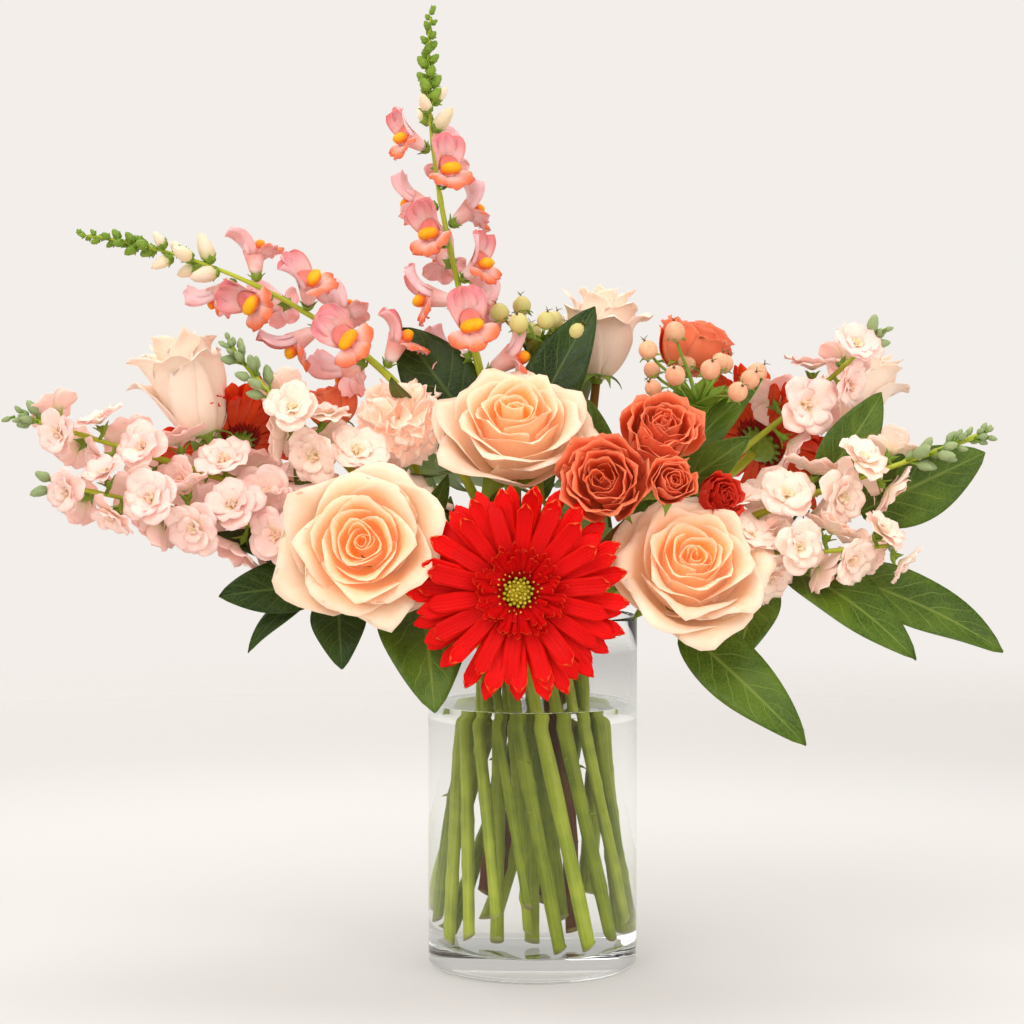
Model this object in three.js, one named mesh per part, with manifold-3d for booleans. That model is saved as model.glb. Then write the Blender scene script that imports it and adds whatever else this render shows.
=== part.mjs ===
// A mixed bouquet in a clear glass cylinder: three gerberas with roses, spray roses, a carnation,
// stocks, snapdragons, hypericum berries and leafy greens, all standing in water.
// Millimetres, +Z up. The origin is the middle of the vase's underside and the front is -Y.
import * as THREE from "three";
import { mergeVertices } from "three/addons/utils/BufferGeometryUtils.js";
import Module from "manifold-3d";

const wasm = await Module();
wasm.setup();

// ---- driving dimensions -------------------------------------------------------------------
const vase = { radius: 57, height: 190, wall: 3.2, floor: 12, footRound: 3, floorRound: 4, sides: 30 };
const waterLevel = 141; // height of the water's surface above the table
const clearance = 0.35; // gap kept between pieces that touch
const sharpest = 0.3; // limits how far a knife edge runs out when a clearance is kept round it
const stemSides = 5;
const stemStep = 30; // length of one straight stretch of a bending stem
const neck = { belowRim: 26, spread: 27.5, innerSpread: 13.5 }; // where the stems are closest together
const footGap = 13; // from the middle of the outer ring's cut ends to the inside of the vase
const neckOffset = THREE.MathUtils.degToRad(-8); // turns the whole ring of stems round the vase

const roseRadius = 45; // of a fully open rose
const gerberaRadius = 56;
const sprayRadius = 21;
const carnationRadius = 28;
const stockFlower = { radius: 18, reach: 13, step: 15, bud: 6.5 };
const snapFlower = { length: 29, radius: 11, step: 12.5 };
const berryRadius = 6.4;
const twigLength = 38; // from the fork of a berry sprig to its lowest berries
const halfOpenRose = { radius: 21, height: 46 };
const forkGap = 4.2; // from the fork of the spray rose to the start of each side shoot
const leafThickness = 1.4;
const collar = 4; // how far the knot that carries a group of leaves stands out from its stem

const colours = {
  glass: "#dfe8e6",
  water: "#e6eeee",
  stem: "#7d9a3c",
  leaf: "#4f7a2a",
  gerbera: "#e3200f",
  rose: "#f6bf92",
  paleRose: "#f6dcc8",
  sprayRose: "#e2603a",
  carnation: "#f6d3bf",
  stock: "#f3d3c4",
  snapdragon: "#ee8a76",
  berry: "#eaa884",
};

// ---- the arrangement ----------------------------------------------------------------------
// A head or a tip is given as degrees round from +X, then how far out from the vase's wall and how
// far above its rim. head is the middle of a bloom or the tip of a spike; facing is the way it looks.
// rise and lead are how far the stem runs straight on above the neck and straight up to its bloom.
// ring 0 stands in the middle of the bunch, 1 in the inner ring and 2 in the outer ring.
// lift is how far the cut end stands above the vase's floor.
const plants = [
  {
    name: "gerbera_front", kind: "gerbera", head: [-95, 33, 18], facing: [0, -1, 0.08],
    stem: 3.6, ring: 2, rise: 70, lead: 34, lift: 0,
  },
  {
    name: "gerbera_left", kind: "gerbera", head: [168.5, 114, 95], facing: [-0.45, 0.55, 0.72],
    stem: 3.3, ring: 2, rise: 70, lead: 60, lift: 12, size: 0.86,
  },
  {
    name: "gerbera_right", kind: "gerbera", head: [18, 81, 95], facing: [0.6, 0.55, 0.58],
    stem: 3.3, ring: 2, rise: 70, lead: 60, lift: 6, size: 0.88,
  },
  {
    name: "rose_left", kind: "rose", head: [-138, 59, 41], facing: [-0.02, -1, 0.22],
    stem: 3.4, ring: 2, rise: 66, lead: 45, lift: 0,
  },
  {
    name: "rose_middle", kind: "rose", head: [-103.5, -18, 98], facing: [0, -0.72, 0.69],
    stem: 3.4, ring: 1, rise: 60, lead: 40, lift: 14,
  },
  {
    name: "rose_right", kind: "rose", head: [-41.5, 51, 22], facing: [0.12, -0.93, 0.34],
    stem: 3.4, ring: 2, rise: 60, lead: 30, lift: 3,
  },
  {
    name: "rose_upper", kind: "cupRose", head: [42, -6, 150], facing: [0.1, 0.05, 1],
    stem: 3, ring: 1, rise: 80, lead: 60, lift: 22, size: 1.02,
  },
  {
    name: "rose_back_left", kind: "cupRose", head: [178, 129, 119], facing: [-0.35, 0.1, 0.92],
    stem: 3, ring: 2, rise: 66, lead: 60, lift: 9, size: 1.2,
  },
  {
    name: "rose_back_right", kind: "cupRose", head: [17, 135, 118], facing: [0.3, 0.3, 0.9],
    stem: 3, ring: 2, rise: 66, lead: 60, lift: 16, size: 1,
  },
  {
    name: "spray_right", kind: "fork", head: [4.5, -5, 48], facing: [0.25, -0.1, 0.96],
    stem: 2.9, ring: 1, rise: 30, lead: 25, lift: 4,
  },
  {
    name: "spray_left", kind: "sprayRose", head: [166.5, 56, 113], facing: [-0.3, 0, 0.95],
    stem: 2.2, ring: 1, rise: 70, lead: 50, lift: 26, size: 0.76,
  },
  {
    name: "carnation", kind: "carnation", head: [-177, 15, 114], facing: [-0.12, -0.55, 0.82],
    stem: 2.3, ring: 1, rise: 70, lead: 45, lift: 8,
  },
  {
    name: "stock_left_top", kind: "stock", head: [-167.5, 107, 146], facing: [-0.55, 0.02, 0.84],
    stem: 3, ring: 2, rise: 66, lead: 75, lift: 5, spike: 104, open: 0.8,
  },
  {
    name: "stock_left_long", kind: "stock", head: [-174.5, 215, 107], facing: [-0.94, 0.02, 0.3],
    stem: 3.1, ring: 2, rise: 62, lead: 140, lift: 0, spike: 132, open: 0.9,
  },
  {
    name: "stock_left_low", kind: "stock", head: [-167, 196, 72], facing: [-0.94, -0.06, 0.22],
    stem: 2.8, ring: 2, rise: 60, lead: 110, lift: 18, spike: 116, open: 0.95,
  },
  {
    name: "stock_right_long", kind: "stock", head: [-8, 183, 98], facing: [0.93, 0, 0.36],
    stem: 3.1, ring: 2, rise: 62, lead: 100, lift: 0, spike: 150, open: 0.72,
  },
  {
    name: "stock_right_low", kind: "stock", head: [-15.5, 138, 40], facing: [0.97, -0.06, 0.1],
    stem: 2.8, ring: 2, rise: 56, lead: 70, lift: 10, spike: 92, open: 1.1,
  },
  {
    name: "stock_right_top", kind: "stock", head: [2.5, 131, 153], facing: [0.66, -0.05, 0.75],
    stem: 3, ring: 2, rise: 76, lead: 80, lift: 20, spike: 74, open: 0.86,
  },
  {
    name: "snapdragon_middle", kind: "snapdragon", head: [165.5, 0, 324], facing: [0.1, 0, 1],
    stem: 3, ring: 0, rise: 110, lead: 120, lift: 0, spike: 196,
  },
  {
    name: "snapdragon_left", kind: "snapdragon", head: [-178.5, 182, 204], facing: [-0.97, 0, 0.12],
    stem: 2.9, ring: 1, rise: 140, lead: 105, lift: 2, spike: 176,
  },
  {
    name: "hypericum_middle", kind: "berries", head: [71.5, -38, 162], facing: [0.14, -0.05, 1],
    stem: 1.9, ring: 1, rise: 80, lead: 60, lift: 30, size: 0.7,
  },
  {
    name: "hypericum_right", kind: "berries", head: [-8.5, 36, 140], facing: [0.12, -0.3, 0.95],
    stem: 2.1, ring: 1, rise: 60, lead: 50, lift: 11,
  },
  {
    name: "greens_right", kind: "fork", head: [-8.5, 68, 32], facing: [0.9, -0.1, 0.3],
    stem: 2.4, ring: 2, rise: 56, lead: 40, lift: 7,
  },
  {
    name: "greens_left", kind: "fork", head: [-164, 51, 17], facing: [-0.9, -0.2, 0.1],
    stem: 2.4, ring: 2, rise: 56, lead: 40, lift: 24,
  },
  {
    name: "greens_back", kind: "fork", head: [88.5, 25, 62], facing: [0, 0.7, 0.7],
    stem: 2.4, ring: 2, rise: 56, lead: 40, lift: 0,
  },
];

// Side shoots of the forked spray rose: each bloom looks away from the fork.
const sprayHeads = [
  { name: "spray_rose_low", head: [-62, 24, 71], size: 1 },
  { name: "spray_rose_high", head: [-40, 28, 97], size: 1 },
  { name: "spray_rose_bud", head: [-51.5, 53, 72], size: 0.62 },
  { name: "spray_rose_dark", head: [-24.5, 49, 63], size: 0.62 },
  { name: "spray_rose_back", head: [17, 33, 144], size: 0.92 },
];

// Leaves grow from a point on a stem. at is how far along the stem, tip where the leaf ends,
// bare the share of its length that is stalk, arch how high it bows and face the way it looks.
const foliage = [
  {
    name: "leaves_right", on: "greens_right", at: 1, leaves: [
      { tip: [-3.5, 186, 88], width: 40, bare: 0.42, arch: 6, face: [0.3, -0.9, 0.2] },
      { tip: [-7.5, 195, -16], width: 36, bare: 0.3, arch: 10, face: [0.2, -0.8, 0.6] },
      { tip: [-17.5, 151, -18], width: 36, bare: 0.12, arch: 9, face: [0, -0.7, 0.7] },
      { tip: [0.5, 133, 120], width: 30, bare: 0.4, arch: 4, face: [0.3, -0.9, 0] },
      { tip: [-32, 68, -18], width: 30, bare: 0.2, arch: 4, face: [0, -0.9, 0.4] },
    ],
  },
  {
    name: "leaves_rose_right", on: "rose_right", at: 0.9, leaves: [
      { tip: [-32.5, 107, -59], width: 34, bare: 0.24, arch: 6, face: [0, -0.9, 0.4] },
    ],
  },
  {
    name: "leaves_left", on: "greens_left", at: 1, leaves: [
      { tip: [-168, 117, 46], width: 26, bare: 0.1, arch: 5, face: [0, -0.6, 0.8] },
      { tip: [-160.5, 116, 14], width: 30, bare: 0.16, arch: 3, face: [-0.2, -0.9, 0.3] },
      { tip: [-162.5, 100, -16], width: 17, bare: 0.12, arch: 8, face: [0, -0.5, 0.85] },
      { tip: [-148, 60, -23], width: 30, bare: 0.16, arch: 6, face: [0, -0.9, 0.4] },
      { tip: [161.5, 82, 36], width: 34, bare: 0.2, arch: 6, face: [0, 0.7, 0.7] },
    ],
  },
  {
    name: "leaves_rose_left", on: "rose_left", at: 0.84, leaves: [
      { tip: [-121, 41, -42], width: 52, bare: 0.05, arch: 5, face: [0, -1, 0.2] },
    ],
  },
  {
    name: "leaves_top", on: "snapdragon_middle", at: 0.5, leaves: [
      { tip: [164.5, 19, 156], width: 42, bare: 0.28, arch: 5, face: [0.1, -1, 0.1] },
      { tip: [10.5, -23, 167], width: 34, bare: 0.2, arch: 5, face: [-0.2, -0.95, 0.1] },
      { tip: [131.5, 42, 142], width: 36, bare: 0.2, arch: 6, face: [0, 1, 0.2] },
      { tip: [64, 25, 136], width: 36, bare: 0.2, arch: 6, face: [0, 1, 0.2] },
    ],
  },
  {
    name: "leaves_hypericum", on: "hypericum_right", at: 0.74, leaves: [
      { tip: [-22, -25, 116], width: 22, bare: 0.25, arch: 4, face: [0, -0.8, 0.6] },
      { tip: [-16.5, 62, 96], width: 30, bare: 0.15, arch: 3, face: [0, -1, 0.2] },
      { tip: [-4.5, 66, 128], width: 26, bare: 0.2, arch: 4, face: [-0.5, -0.8, 0.2] },
    ],
  },
  {
    name: "leaves_back", on: "greens_back", at: 1, leaves: [
      { tip: [129.5, 88, 72], width: 42, bare: 0.2, arch: 10, face: [0, 0.6, 0.8] },
      { tip: [108, 71, 6], width: 38, bare: 0.15, arch: 8, face: [0, 0.8, 0.6] },
      { tip: [67.5, 79, 10], width: 38, bare: 0.15, arch: 8, face: [0, 0.8, 0.6] },
      { tip: [49, 92, 78], width: 42, bare: 0.2, arch: 10, face: [0, 0.6, 0.8] },
      { tip: [89, 55, 138], width: 40, bare: 0.2, arch: 6, face: [0, 1, 0.2] },
    ],
  },
];

// ---- small tools --------------------------------------------------------------------------
const up = new THREE.Vector3(0, 0, 1);
const unitScale = new THREE.Vector3(1, 1, 1);
const vector = (list) => new THREE.Vector3(...list);
const turn = Math.PI * 2;

function placed([degrees, out, above]) {
  const angle = THREE.MathUtils.degToRad(degrees);
  const radius = vase.radius + out;
  return new THREE.Vector3(radius * Math.cos(angle), radius * Math.sin(angle), vase.height + above);
}

function withoutFlatTriangles(index) {
  const kept = [];
  for (let i = 0; i < index.length; i += 3) {
    const [a, b, c] = [index[i], index[i + 1], index[i + 2]];
    if (a !== b && b !== c && c !== a) kept.push(a, b, c);
  }
  return new Uint32Array(kept);
}

// A closed geometry as a solid whose faces point outwards.
function solidOf(geometry) {
  const bare = new THREE.BufferGeometry();
  bare.setAttribute("position", geometry.getAttribute("position"));
  bare.setIndex(geometry.index);
  const merged = mergeVertices(bare, 1e-3);
  const triVerts = withoutFlatTriangles(merged.index.array);
  const vertProperties = merged.attributes.position.array;
  const solid = new wasm.Manifold(new wasm.Mesh({ numProp: 3, vertProperties, triVerts }));
  if (solid.volume() >= 0) return solid;
  return new wasm.Manifold(new wasm.Mesh({ numProp: 3, vertProperties, triVerts: triVerts.reverse() }));
}

function geometryOf(solid) {
  const mesh = solid.getMesh();
  const geometry = new THREE.BufferGeometry();
  geometry.setAttribute("position", new THREE.BufferAttribute(new Float32Array(mesh.vertProperties), 3));
  geometry.setIndex(new THREE.BufferAttribute(new Uint32Array(mesh.triVerts), 1));
  return geometry;
}

// The solid with its faces moved outwards, used to keep a clearance where pieces meet. A corner
// moves along the mean of its faces' normals, far enough to carry each of those faces with it.
function grown(solid, distance) {
  const geometry = geometryOf(solid);
  const { array: index } = geometry.index;
  const position = geometry.getAttribute("position");
  const corner = (i) => new THREE.Vector3().fromBufferAttribute(position, i);
  const mean = Array.from({ length: position.count }, () => new THREE.Vector3());
  const normals = mean.map(() => []);
  for (let i = 0; i < index.length; i += 3) {
    const ids = [index[i], index[i + 1], index[i + 2]];
    const points = ids.map(corner);
    const normal = new THREE.Triangle(...points).getNormal(new THREE.Vector3());
    ids.forEach((id, k) => {
      const toNext = points[(k + 1) % 3].clone().sub(points[k]);
      const toLast = points[(k + 2) % 3].clone().sub(points[k]);
      mean[id].addScaledVector(normal, toNext.angleTo(toLast));
      normals[id].push(normal);
    });
  }
  mean.forEach((direction, i) => {
    direction.normalize();
    const least = Math.min(...normals[i].map((normal) => normal.dot(direction)));
    direction.multiplyScalar(distance / Math.max(least, sharpest)).add(corner(i));
    position.setXYZ(i, direction.x, direction.y, direction.z);
  });
  return solidOf(geometry);
}

function largestBody(solid) {
  return solid.decompose().reduce((best, one) => (one.volume() > best.volume() ? one : best));
}

function placement(at, facing) {
  const quaternion = new THREE.Quaternion().setFromUnitVectors(up, facing.clone().normalize());
  return new THREE.Matrix4().compose(at, quaternion, unitScale);
}

// A turned shape about +Z. lobes notch its outer edge, as the tips of petals do.
function turned(profile, sides, lobes = 0, notch = 0) {
  const points = profile.map(([r, z]) => new THREE.Vector2(r, z));
  const geometry = new THREE.LatheGeometry(points, sides).rotateX(Math.PI / 2);
  const widest = Math.max(...profile.map(([r]) => r));
  const position = geometry.getAttribute("position");
  for (let i = 0; i < position.count && lobes; i += 1) {
    const [x, y] = [position.getX(i), position.getY(i)];
    const share = Math.hypot(x, y) / widest;
    const wave = (1 - Math.cos(lobes * Math.atan2(y, x))) / 2;
    const scale = 1 - notch * wave * share * share;
    position.setXY(i, x * scale, y * scale);
  }
  return geometry;
}

// A closed skin over rings of equally many points, with flat ends.
function loft(rings) {
  const count = rings[0].length;
  const positions = rings.flat().flatMap((p) => [p.x, p.y, p.z]);
  const index = [];
  for (let r = 0; r + 1 < rings.length; r += 1) {
    for (let i = 0; i < count; i += 1) {
      const [a, b] = [r * count + i, r * count + ((i + 1) % count)];
      index.push(a, b, a + count, b, b + count, a + count);
    }
  }
  const last = (rings.length - 1) * count;
  for (let i = 1; i + 1 < count; i += 1) {
    index.push(0, i + 1, i, last, last + i, last + i + 1);
  }
  const geometry = new THREE.BufferGeometry();
  geometry.setAttribute("position", new THREE.Float32BufferAttribute(positions, 3));
  return geometry.setIndex(index);
}

// ---- the vase and its water ---------------------------------------------------------------
function vaseGeometry() {
  const { radius, height, wall, floor, footRound, floorRound, sides } = vase;
  const inside = radius - wall;
  const lip = wall / 2;
  const arc = (cx, cz, r, from, to, steps) =>
    Array.from({ length: steps + 1 }, (_, i) => {
      const angle = THREE.MathUtils.degToRad(from + ((to - from) * i) / steps);
      return [cx + r * Math.cos(angle), cz + r * Math.sin(angle)];
    });
  return turned([
    [0, 0],
    ...arc(radius - footRound, footRound, footRound, -90, 0, 2),
    ...arc(radius - lip, height - lip, lip, 0, 180, 3),
    ...arc(inside - floorRound, floor + floorRound, floorRound, 0, -90, 2),
    [0, floor],
  ], sides);
}

function waterSolid(stems) {
  const radius = vase.radius - vase.wall - clearance;
  const bottom = vase.floor + clearance;
  const round = vase.floorRound;
  const body = solidOf(turned([
    [0, bottom],
    [radius - round, bottom],
    [radius - round * 0.3, bottom + round * 0.3],
    [radius, bottom + round],
    [radius, waterLevel],
    [0, waterLevel],
  ], vase.sides));
  return largestBody(stems.reduce((rest, stem) => rest.subtract(stem), body));
}

// ---- stems --------------------------------------------------------------------------------
const neckHeight = vase.height - neck.belowRim;

// The stems spiral, each along a straight line of one family, so that none crosses another.
const twist = Math.acos(neck.spread / (vase.radius - vase.wall - footGap));

// Shares out places in a ring at the neck, in the order in which the heads stand round the vase.
function neckAngles(ring) {
  const standing = plants.filter((plant) => plant.ring === ring);
  const azimuth = (plant) => THREE.MathUtils.degToRad((plant.head[0] + 360) % 360);
  standing.sort((a, b) => azimuth(a) - azimuth(b));
  const pitch = turn / standing.length;
  const offset = standing.reduce((sum, plant, i) => sum + azimuth(plant) - i * pitch, 0) / standing.length;
  return new Map(standing.map((plant, i) => [plant.name, offset + i * pitch + neckOffset]));
}

const angles = new Map([0, 1, 2].flatMap((ring) => [...neckAngles(ring)]));

// Where a stem meets its bloom: spikes and forks go on to the head itself.
const seats = {
  gerbera: gerberaRadius * 0.3,
  rose: roseRadius * 0.62,
  cupRose: halfOpenRose.height * 0.5,
  sprayRose: sprayRadius * 0.75,
  carnation: carnationRadius * 0.95,
  berries: twigLength,
};

function stemPath(plant) {
  const spread = [0, neck.innerSpread, neck.spread][plant.ring];
  const angle = angles.get(plant.name);
  const onCircle = (radius, at, z) => new THREE.Vector3(radius * Math.cos(at), radius * Math.sin(at), z);
  const lean = Math.atan2(spread * Math.tan(twist), neckHeight - vase.floor);
  const footZ = vase.floor + clearance + plant.stem * Math.sin(lean) + plant.lift;
  const narrow = onCircle(spread, angle, neckHeight);
  const foot = onCircle(spread / Math.cos(twist), angle + twist, footZ);
  const facing = vector(plant.facing).normalize();
  const seat = (seats[plant.kind] ?? 0) * (plant.size ?? 1);
  const end = placed(plant.head).addScaledVector(facing, -seat);
  const along = narrow.clone().sub(foot).normalize();
  const path = new THREE.CurvePath();
  path.add(new THREE.LineCurve3(foot, narrow));
  path.add(new THREE.CubicBezierCurve3(
    narrow,
    narrow.clone().addScaledVector(along, plant.rise),
    end.clone().addScaledVector(facing, -plant.lead),
    end,
  ));
  return path;
}

// A round bar through stations, each a point and the way the bar runs there.
function bar(stations, radius, sides) {
  const rings = stations.map(([at, along]) => {
    const lean = new THREE.Quaternion().setFromUnitVectors(up, along);
    return Array.from({ length: sides }, (_, i) =>
      new THREE.Vector3(radius * Math.cos((turn * i) / sides), radius * Math.sin((turn * i) / sides), 0)
        .applyQuaternion(lean)
        .add(at),
    );
  });
  return loft(rings);
}

function stemGeometry(plant, path) {
  const [straight, bend] = path.curves;
  const steps = Math.max(3, Math.round(bend.getLength() / stemStep));
  const stations = [[straight.getPoint(0), straight.getTangent(0)]];
  for (let i = 0; i <= steps; i += 1) {
    stations.push([bend.getPointAt(i / steps), bend.getTangentAt(i / steps)]);
  }
  return bar(stations, plant.stem, stemSides);
}

function twig(from, to, radius) {
  const along = to.clone().sub(from).normalize();
  return bar([[from, along], [to, along]], radius, 4);
}

// ---- blooms: each has its stem end at the origin and looks along +Z ------------------------
function gerberaGeometry(size) {
  const r = gerberaRadius * size;
  const petals = 14;
  return turned([
    [0, 0],
    [r * 0.2, r * 0.12],
    [r * 0.96, r * 0.2],
    [r, r * 0.26],
    [r * 0.22, r * 0.36],
    [0, r * 0.32],
  ], petals * 2, petals, 0.2);
}

function roseGeometry(size) {
  const r = roseRadius * size;
  return turned([
    [0, 0],
    [r * 0.3, r * 0.03],
    [r * 0.9, r * 0.48],
    [r, r * 0.7],
    [r * 0.5, r * 0.95],
    [0, r * 0.92],
  ], 15, 5, 0.12);
}

function cupRoseGeometry(size) {
  const r = halfOpenRose.radius * size;
  const h = halfOpenRose.height * size;
  return turned([
    [0, 0],
    [r * 0.3, h * 0.01],
    [r * 0.85, h * 0.2],
    [r, h * 0.5],
    [r * 0.92, h * 0.78],
    [r * 1.08, h],
    [0, h * 0.9],
  ], 12, 4, 0.12);
}

function sprayRoseGeometry(size) {
  const r = sprayRadius * size;
  return turned([
    [0, 0],
    [r * 0.3, r * 0.02],
    [r * 0.82, r * 0.5],
    [r, r * 0.95],
    [r * 0.78, r * 1.3],
    [0, r * 1.35],
  ], 10, 5, 0.12);
}

function carnationGeometry(size) {
  const r = carnationRadius * size;
  return turned([
    [0, 0],
    [r * 0.24, r * 0.05],
    [r * 0.26, r * 0.45],
    [r * 0.85, r * 0.7],
    [r, r * 0.95],
    [r * 0.72, r * 1.4],
    [0, r * 1.6],
  ], 14, 7, 0.14);
}

function stockFlowerGeometry(radius) {
  return turned([
    [0, -radius * 0.75],
    [radius * 0.95, 0],
    [radius, radius * 0.25],
    [0, radius * 0.5],
  ], 5);
}

function snapFlowerGeometry(length, radius) {
  return turned([
    [0, 0],
    [radius * 0.5, length * 0.4],
    [radius, length * 0.72],
    [radius * 0.8, length],
    [0, length * 0.94],
  ], 4);
}

function budGeometry(radius) {
  return new THREE.IcosahedronGeometry(radius, 0).scale(0.8, 0.8, 1.25);
}

// Golden-angle flowers along the last stretch of a stem, smaller towards the tip, with buds on top.
const golden = Math.PI * (3 - Math.sqrt(5));

function spikeParts(plant, path, step, makeFlower) {
  const total = path.getLength();
  const count = Math.round(plant.spike / step);
  const flowers = [];
  for (let i = 0; i <= count; i += 1) {
    const share = i / count;
    const along = 1 - (plant.spike * (1 - share)) / total;
    const at = path.getPointAt(Math.min(along, 1));
    const growth = path.getTangentAt(Math.min(along, 1));
    const side = new THREE.Vector3(Math.cos(i * golden), Math.sin(i * golden), 0);
    const outward = side.applyQuaternion(new THREE.Quaternion().setFromUnitVectors(up, growth));
    flowers.push(solidOf(makeFlower({ share, at, growth, outward })));
  }
  const sleeve = solidOf(bar([0, 1, 2, 3, 4].map((i) => {
    const along = 1 - (plant.spike * (1 - i / 4) * 0.98) / total;
    return [path.getPointAt(along), path.getTangentAt(along)];
  }), plant.stem + 1.6, stemSides));
  return [sleeve, ...flowers];
}

function stockParts(plant, path) {
  return spikeParts(plant, path, stockFlower.step, ({ share, at, growth, outward }) => {
    const open = share < plant.open;
    const look = outward.clone().addScaledVector(growth, open ? 0.3 + share * 0.6 : 2);
    const spot = at.clone().addScaledVector(outward, open ? stockFlower.reach * (1 - share * 0.3) : 5);
    const flower = open
      ? stockFlowerGeometry(stockFlower.radius * (1 - share * 0.32))
      : budGeometry(stockFlower.bud);
    return flower.applyMatrix4(placement(spot, look));
  });
}

function snapdragonParts(plant, path) {
  return spikeParts(plant, path, snapFlower.step, ({ share, at, growth, outward }) => {
    const open = share < 0.6;
    const size = open ? 1 - share * 0.25 : 1 - share * 0.6;
    const look = outward.clone().addScaledVector(growth, open ? 0.45 : 1);
    const flower = open
      ? snapFlowerGeometry(snapFlower.length * size, snapFlower.radius * size)
      : budGeometry(snapFlower.radius * size).translate(0, 0, snapFlower.radius * size * 1.5);
    return flower.applyMatrix4(placement(at, look));
  });
}

// Forked twigs, each ending in a round berry.
function berryParts(size, place) {
  const count = Math.round(9 * size);
  const hub = new THREE.Vector3();
  const parts = [new THREE.IcosahedronGeometry(3.4, 0)];
  for (let i = 0; i < count; i += 1) {
    const lean = 0.25 + 0.75 * Math.sqrt(i / count);
    const spin = i * golden;
    const look = new THREE.Vector3(Math.cos(spin) * lean, Math.sin(spin) * lean, 1.15 - lean * 0.5);
    const reach = twigLength * size * (0.95 + 0.35 * ((i * 5) % 3) / 2);
    const end = look.normalize().multiplyScalar(reach);
    parts.push(twig(hub, end, 1.1));
    parts.push(new THREE.IcosahedronGeometry(berryRadius, 0).applyMatrix4(placement(end, look)));
  }
  return parts.map((part) => solidOf(part.applyMatrix4(place)));
}

// ---- leaves -------------------------------------------------------------------------------
// Half the width along a blade: nothing on the stalk, widest a third of the way up, then a drawn-out tip.
function bladeWidth(share, bare) {
  if (share <= bare) return 0;
  const s = (share - bare) / (1 - bare);
  return Math.pow(Math.sin(Math.PI * Math.pow(s, 0.72)), 0.85) * (1 - 0.12 * s);
}

function leafSolid(from, leaf) {
  const blade = [0.02, 0.22, 0.48, 0.76, 1];
  const stations = [0, ...blade.map((s) => leaf.bare + (1 - leaf.bare) * s)];
  const tip = placed(leaf.tip);
  const along = tip.clone().sub(from);
  const length = along.length();
  along.normalize();
  const across = new THREE.Vector3().crossVectors(vector(leaf.face), along).normalize();
  const face = new THREE.Vector3().crossVectors(along, across);
  const rings = stations.map((share) => {
    const half = Math.max(1, (leaf.width / 2) * bladeWidth(share, leaf.bare));
    const middle = from.clone()
      .addScaledVector(along, length * share)
      .addScaledVector(face, leaf.arch * 4 * share * (1 - share));
    return [[1, 1], [-1, 1], [-1, -1], [1, -1]].map(([side, top]) =>
      middle.clone().addScaledVector(across, side * half).addScaledVector(face, (top * leafThickness) / 2),
    );
  });
  return solidOf(loft(rings));
}

function foliageParts(shoot, paths) {
  const carrier = plants.find((plant) => plant.name === shoot.on);
  const from = paths.get(shoot.on).getPointAt(shoot.at);
  const knot = new THREE.IcosahedronGeometry(carrier.stem + collar, 0).translate(from.x, from.y, from.z);
  return [solidOf(knot), ...shoot.leaves.map((leaf) => leafSolid(from, leaf))];
}

// ---- putting it together --------------------------------------------------------------------
const bouquet = new THREE.Group();
const built = []; // each piece so far, with the clearance round it

function boxesMeet(a, b) {
  const [boxA, boxB] = [a.boundingBox(), b.boundingBox()];
  return boxA.min.every((low, i) => low < boxB.max[i] && boxB.min[i] < boxA.max[i]);
}

function show(name, solid, look, at = new THREE.Vector3()) {
  const geometry = geometryOf(solid).translate(-at.x, -at.y, -at.z);
  geometry.computeVertexNormals();
  const mesh = new THREE.Mesh(geometry, new THREE.MeshStandardMaterial({ metalness: 0, ...look }));
  mesh.name = name;
  mesh.position.copy(at);
  bouquet.add(mesh);
}

const union = (solids) => solids.reduce((joined, solid) => joined.add(solid));

// Adds a piece, joined from its parts, that gives way to what is already there.
function add(name, parts, look, at) {
  const solid = union(parts);
  const rest = built
    .filter((margin) => boxesMeet(solid, margin) && solid.intersect(margin).volume() > 0)
    .reduce((left, margin) => left.subtract(margin), solid);
  show(name, largestBody(rest), look, at);
  built.push(union(parts.map((part) => grown(part, clearance))));
}

const matt = (color) => ({ color, roughness: 0.6 });
const clear = (color) => ({ color, roughness: 0.05, transparent: true, opacity: 0.35 });
const paths = new Map(plants.map((plant) => [plant.name, stemPath(plant)]));

add("vase", [solidOf(vaseGeometry())], clear(colours.glass));
for (const plant of plants) {
  add(`${plant.name}_stem`, [solidOf(stemGeometry(plant, paths.get(plant.name)))], matt(colours.stem));
}
show("water", waterSolid(built.slice(1)), clear(colours.water));

for (const shoot of foliage) {
  add(shoot.name, foliageParts(shoot, paths), matt(colours.leaf));
}

const singleBlooms = {
  gerbera: [gerberaGeometry, colours.gerbera],
  rose: [roseGeometry, colours.rose],
  cupRose: [cupRoseGeometry, colours.paleRose],
  sprayRose: [sprayRoseGeometry, colours.sprayRose],
  carnation: [carnationGeometry, colours.carnation],
};

for (const plant of plants.filter(({ kind }) => kind in singleBlooms)) {
  const [make, colour] = singleBlooms[plant.kind];
  const size = plant.size ?? 1;
  const facing = vector(plant.facing).normalize();
  const seat = placed(plant.head).addScaledVector(facing, clearance - seats[plant.kind] * size);
  const bloom = solidOf(make(size).applyMatrix4(placement(seat, facing)));
  add(`${plant.name}_bloom`, [bloom], matt(colour), seat);
}

const fork = placed(plants.find(({ name }) => name === "spray_right").head);
for (const shoot of sprayHeads) {
  const head = placed(shoot.head);
  const look = head.clone().sub(fork).normalize();
  const seat = head.clone().addScaledVector(look, -seats.sprayRose * shoot.size);
  const bloom = solidOf(sprayRoseGeometry(shoot.size).applyMatrix4(placement(seat, look)));
  const stalk = solidOf(twig(fork.clone().addScaledVector(look, forkGap), head, 1.5));
  add(shoot.name, [bloom, stalk], matt(colours.sprayRose), seat);
}

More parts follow.
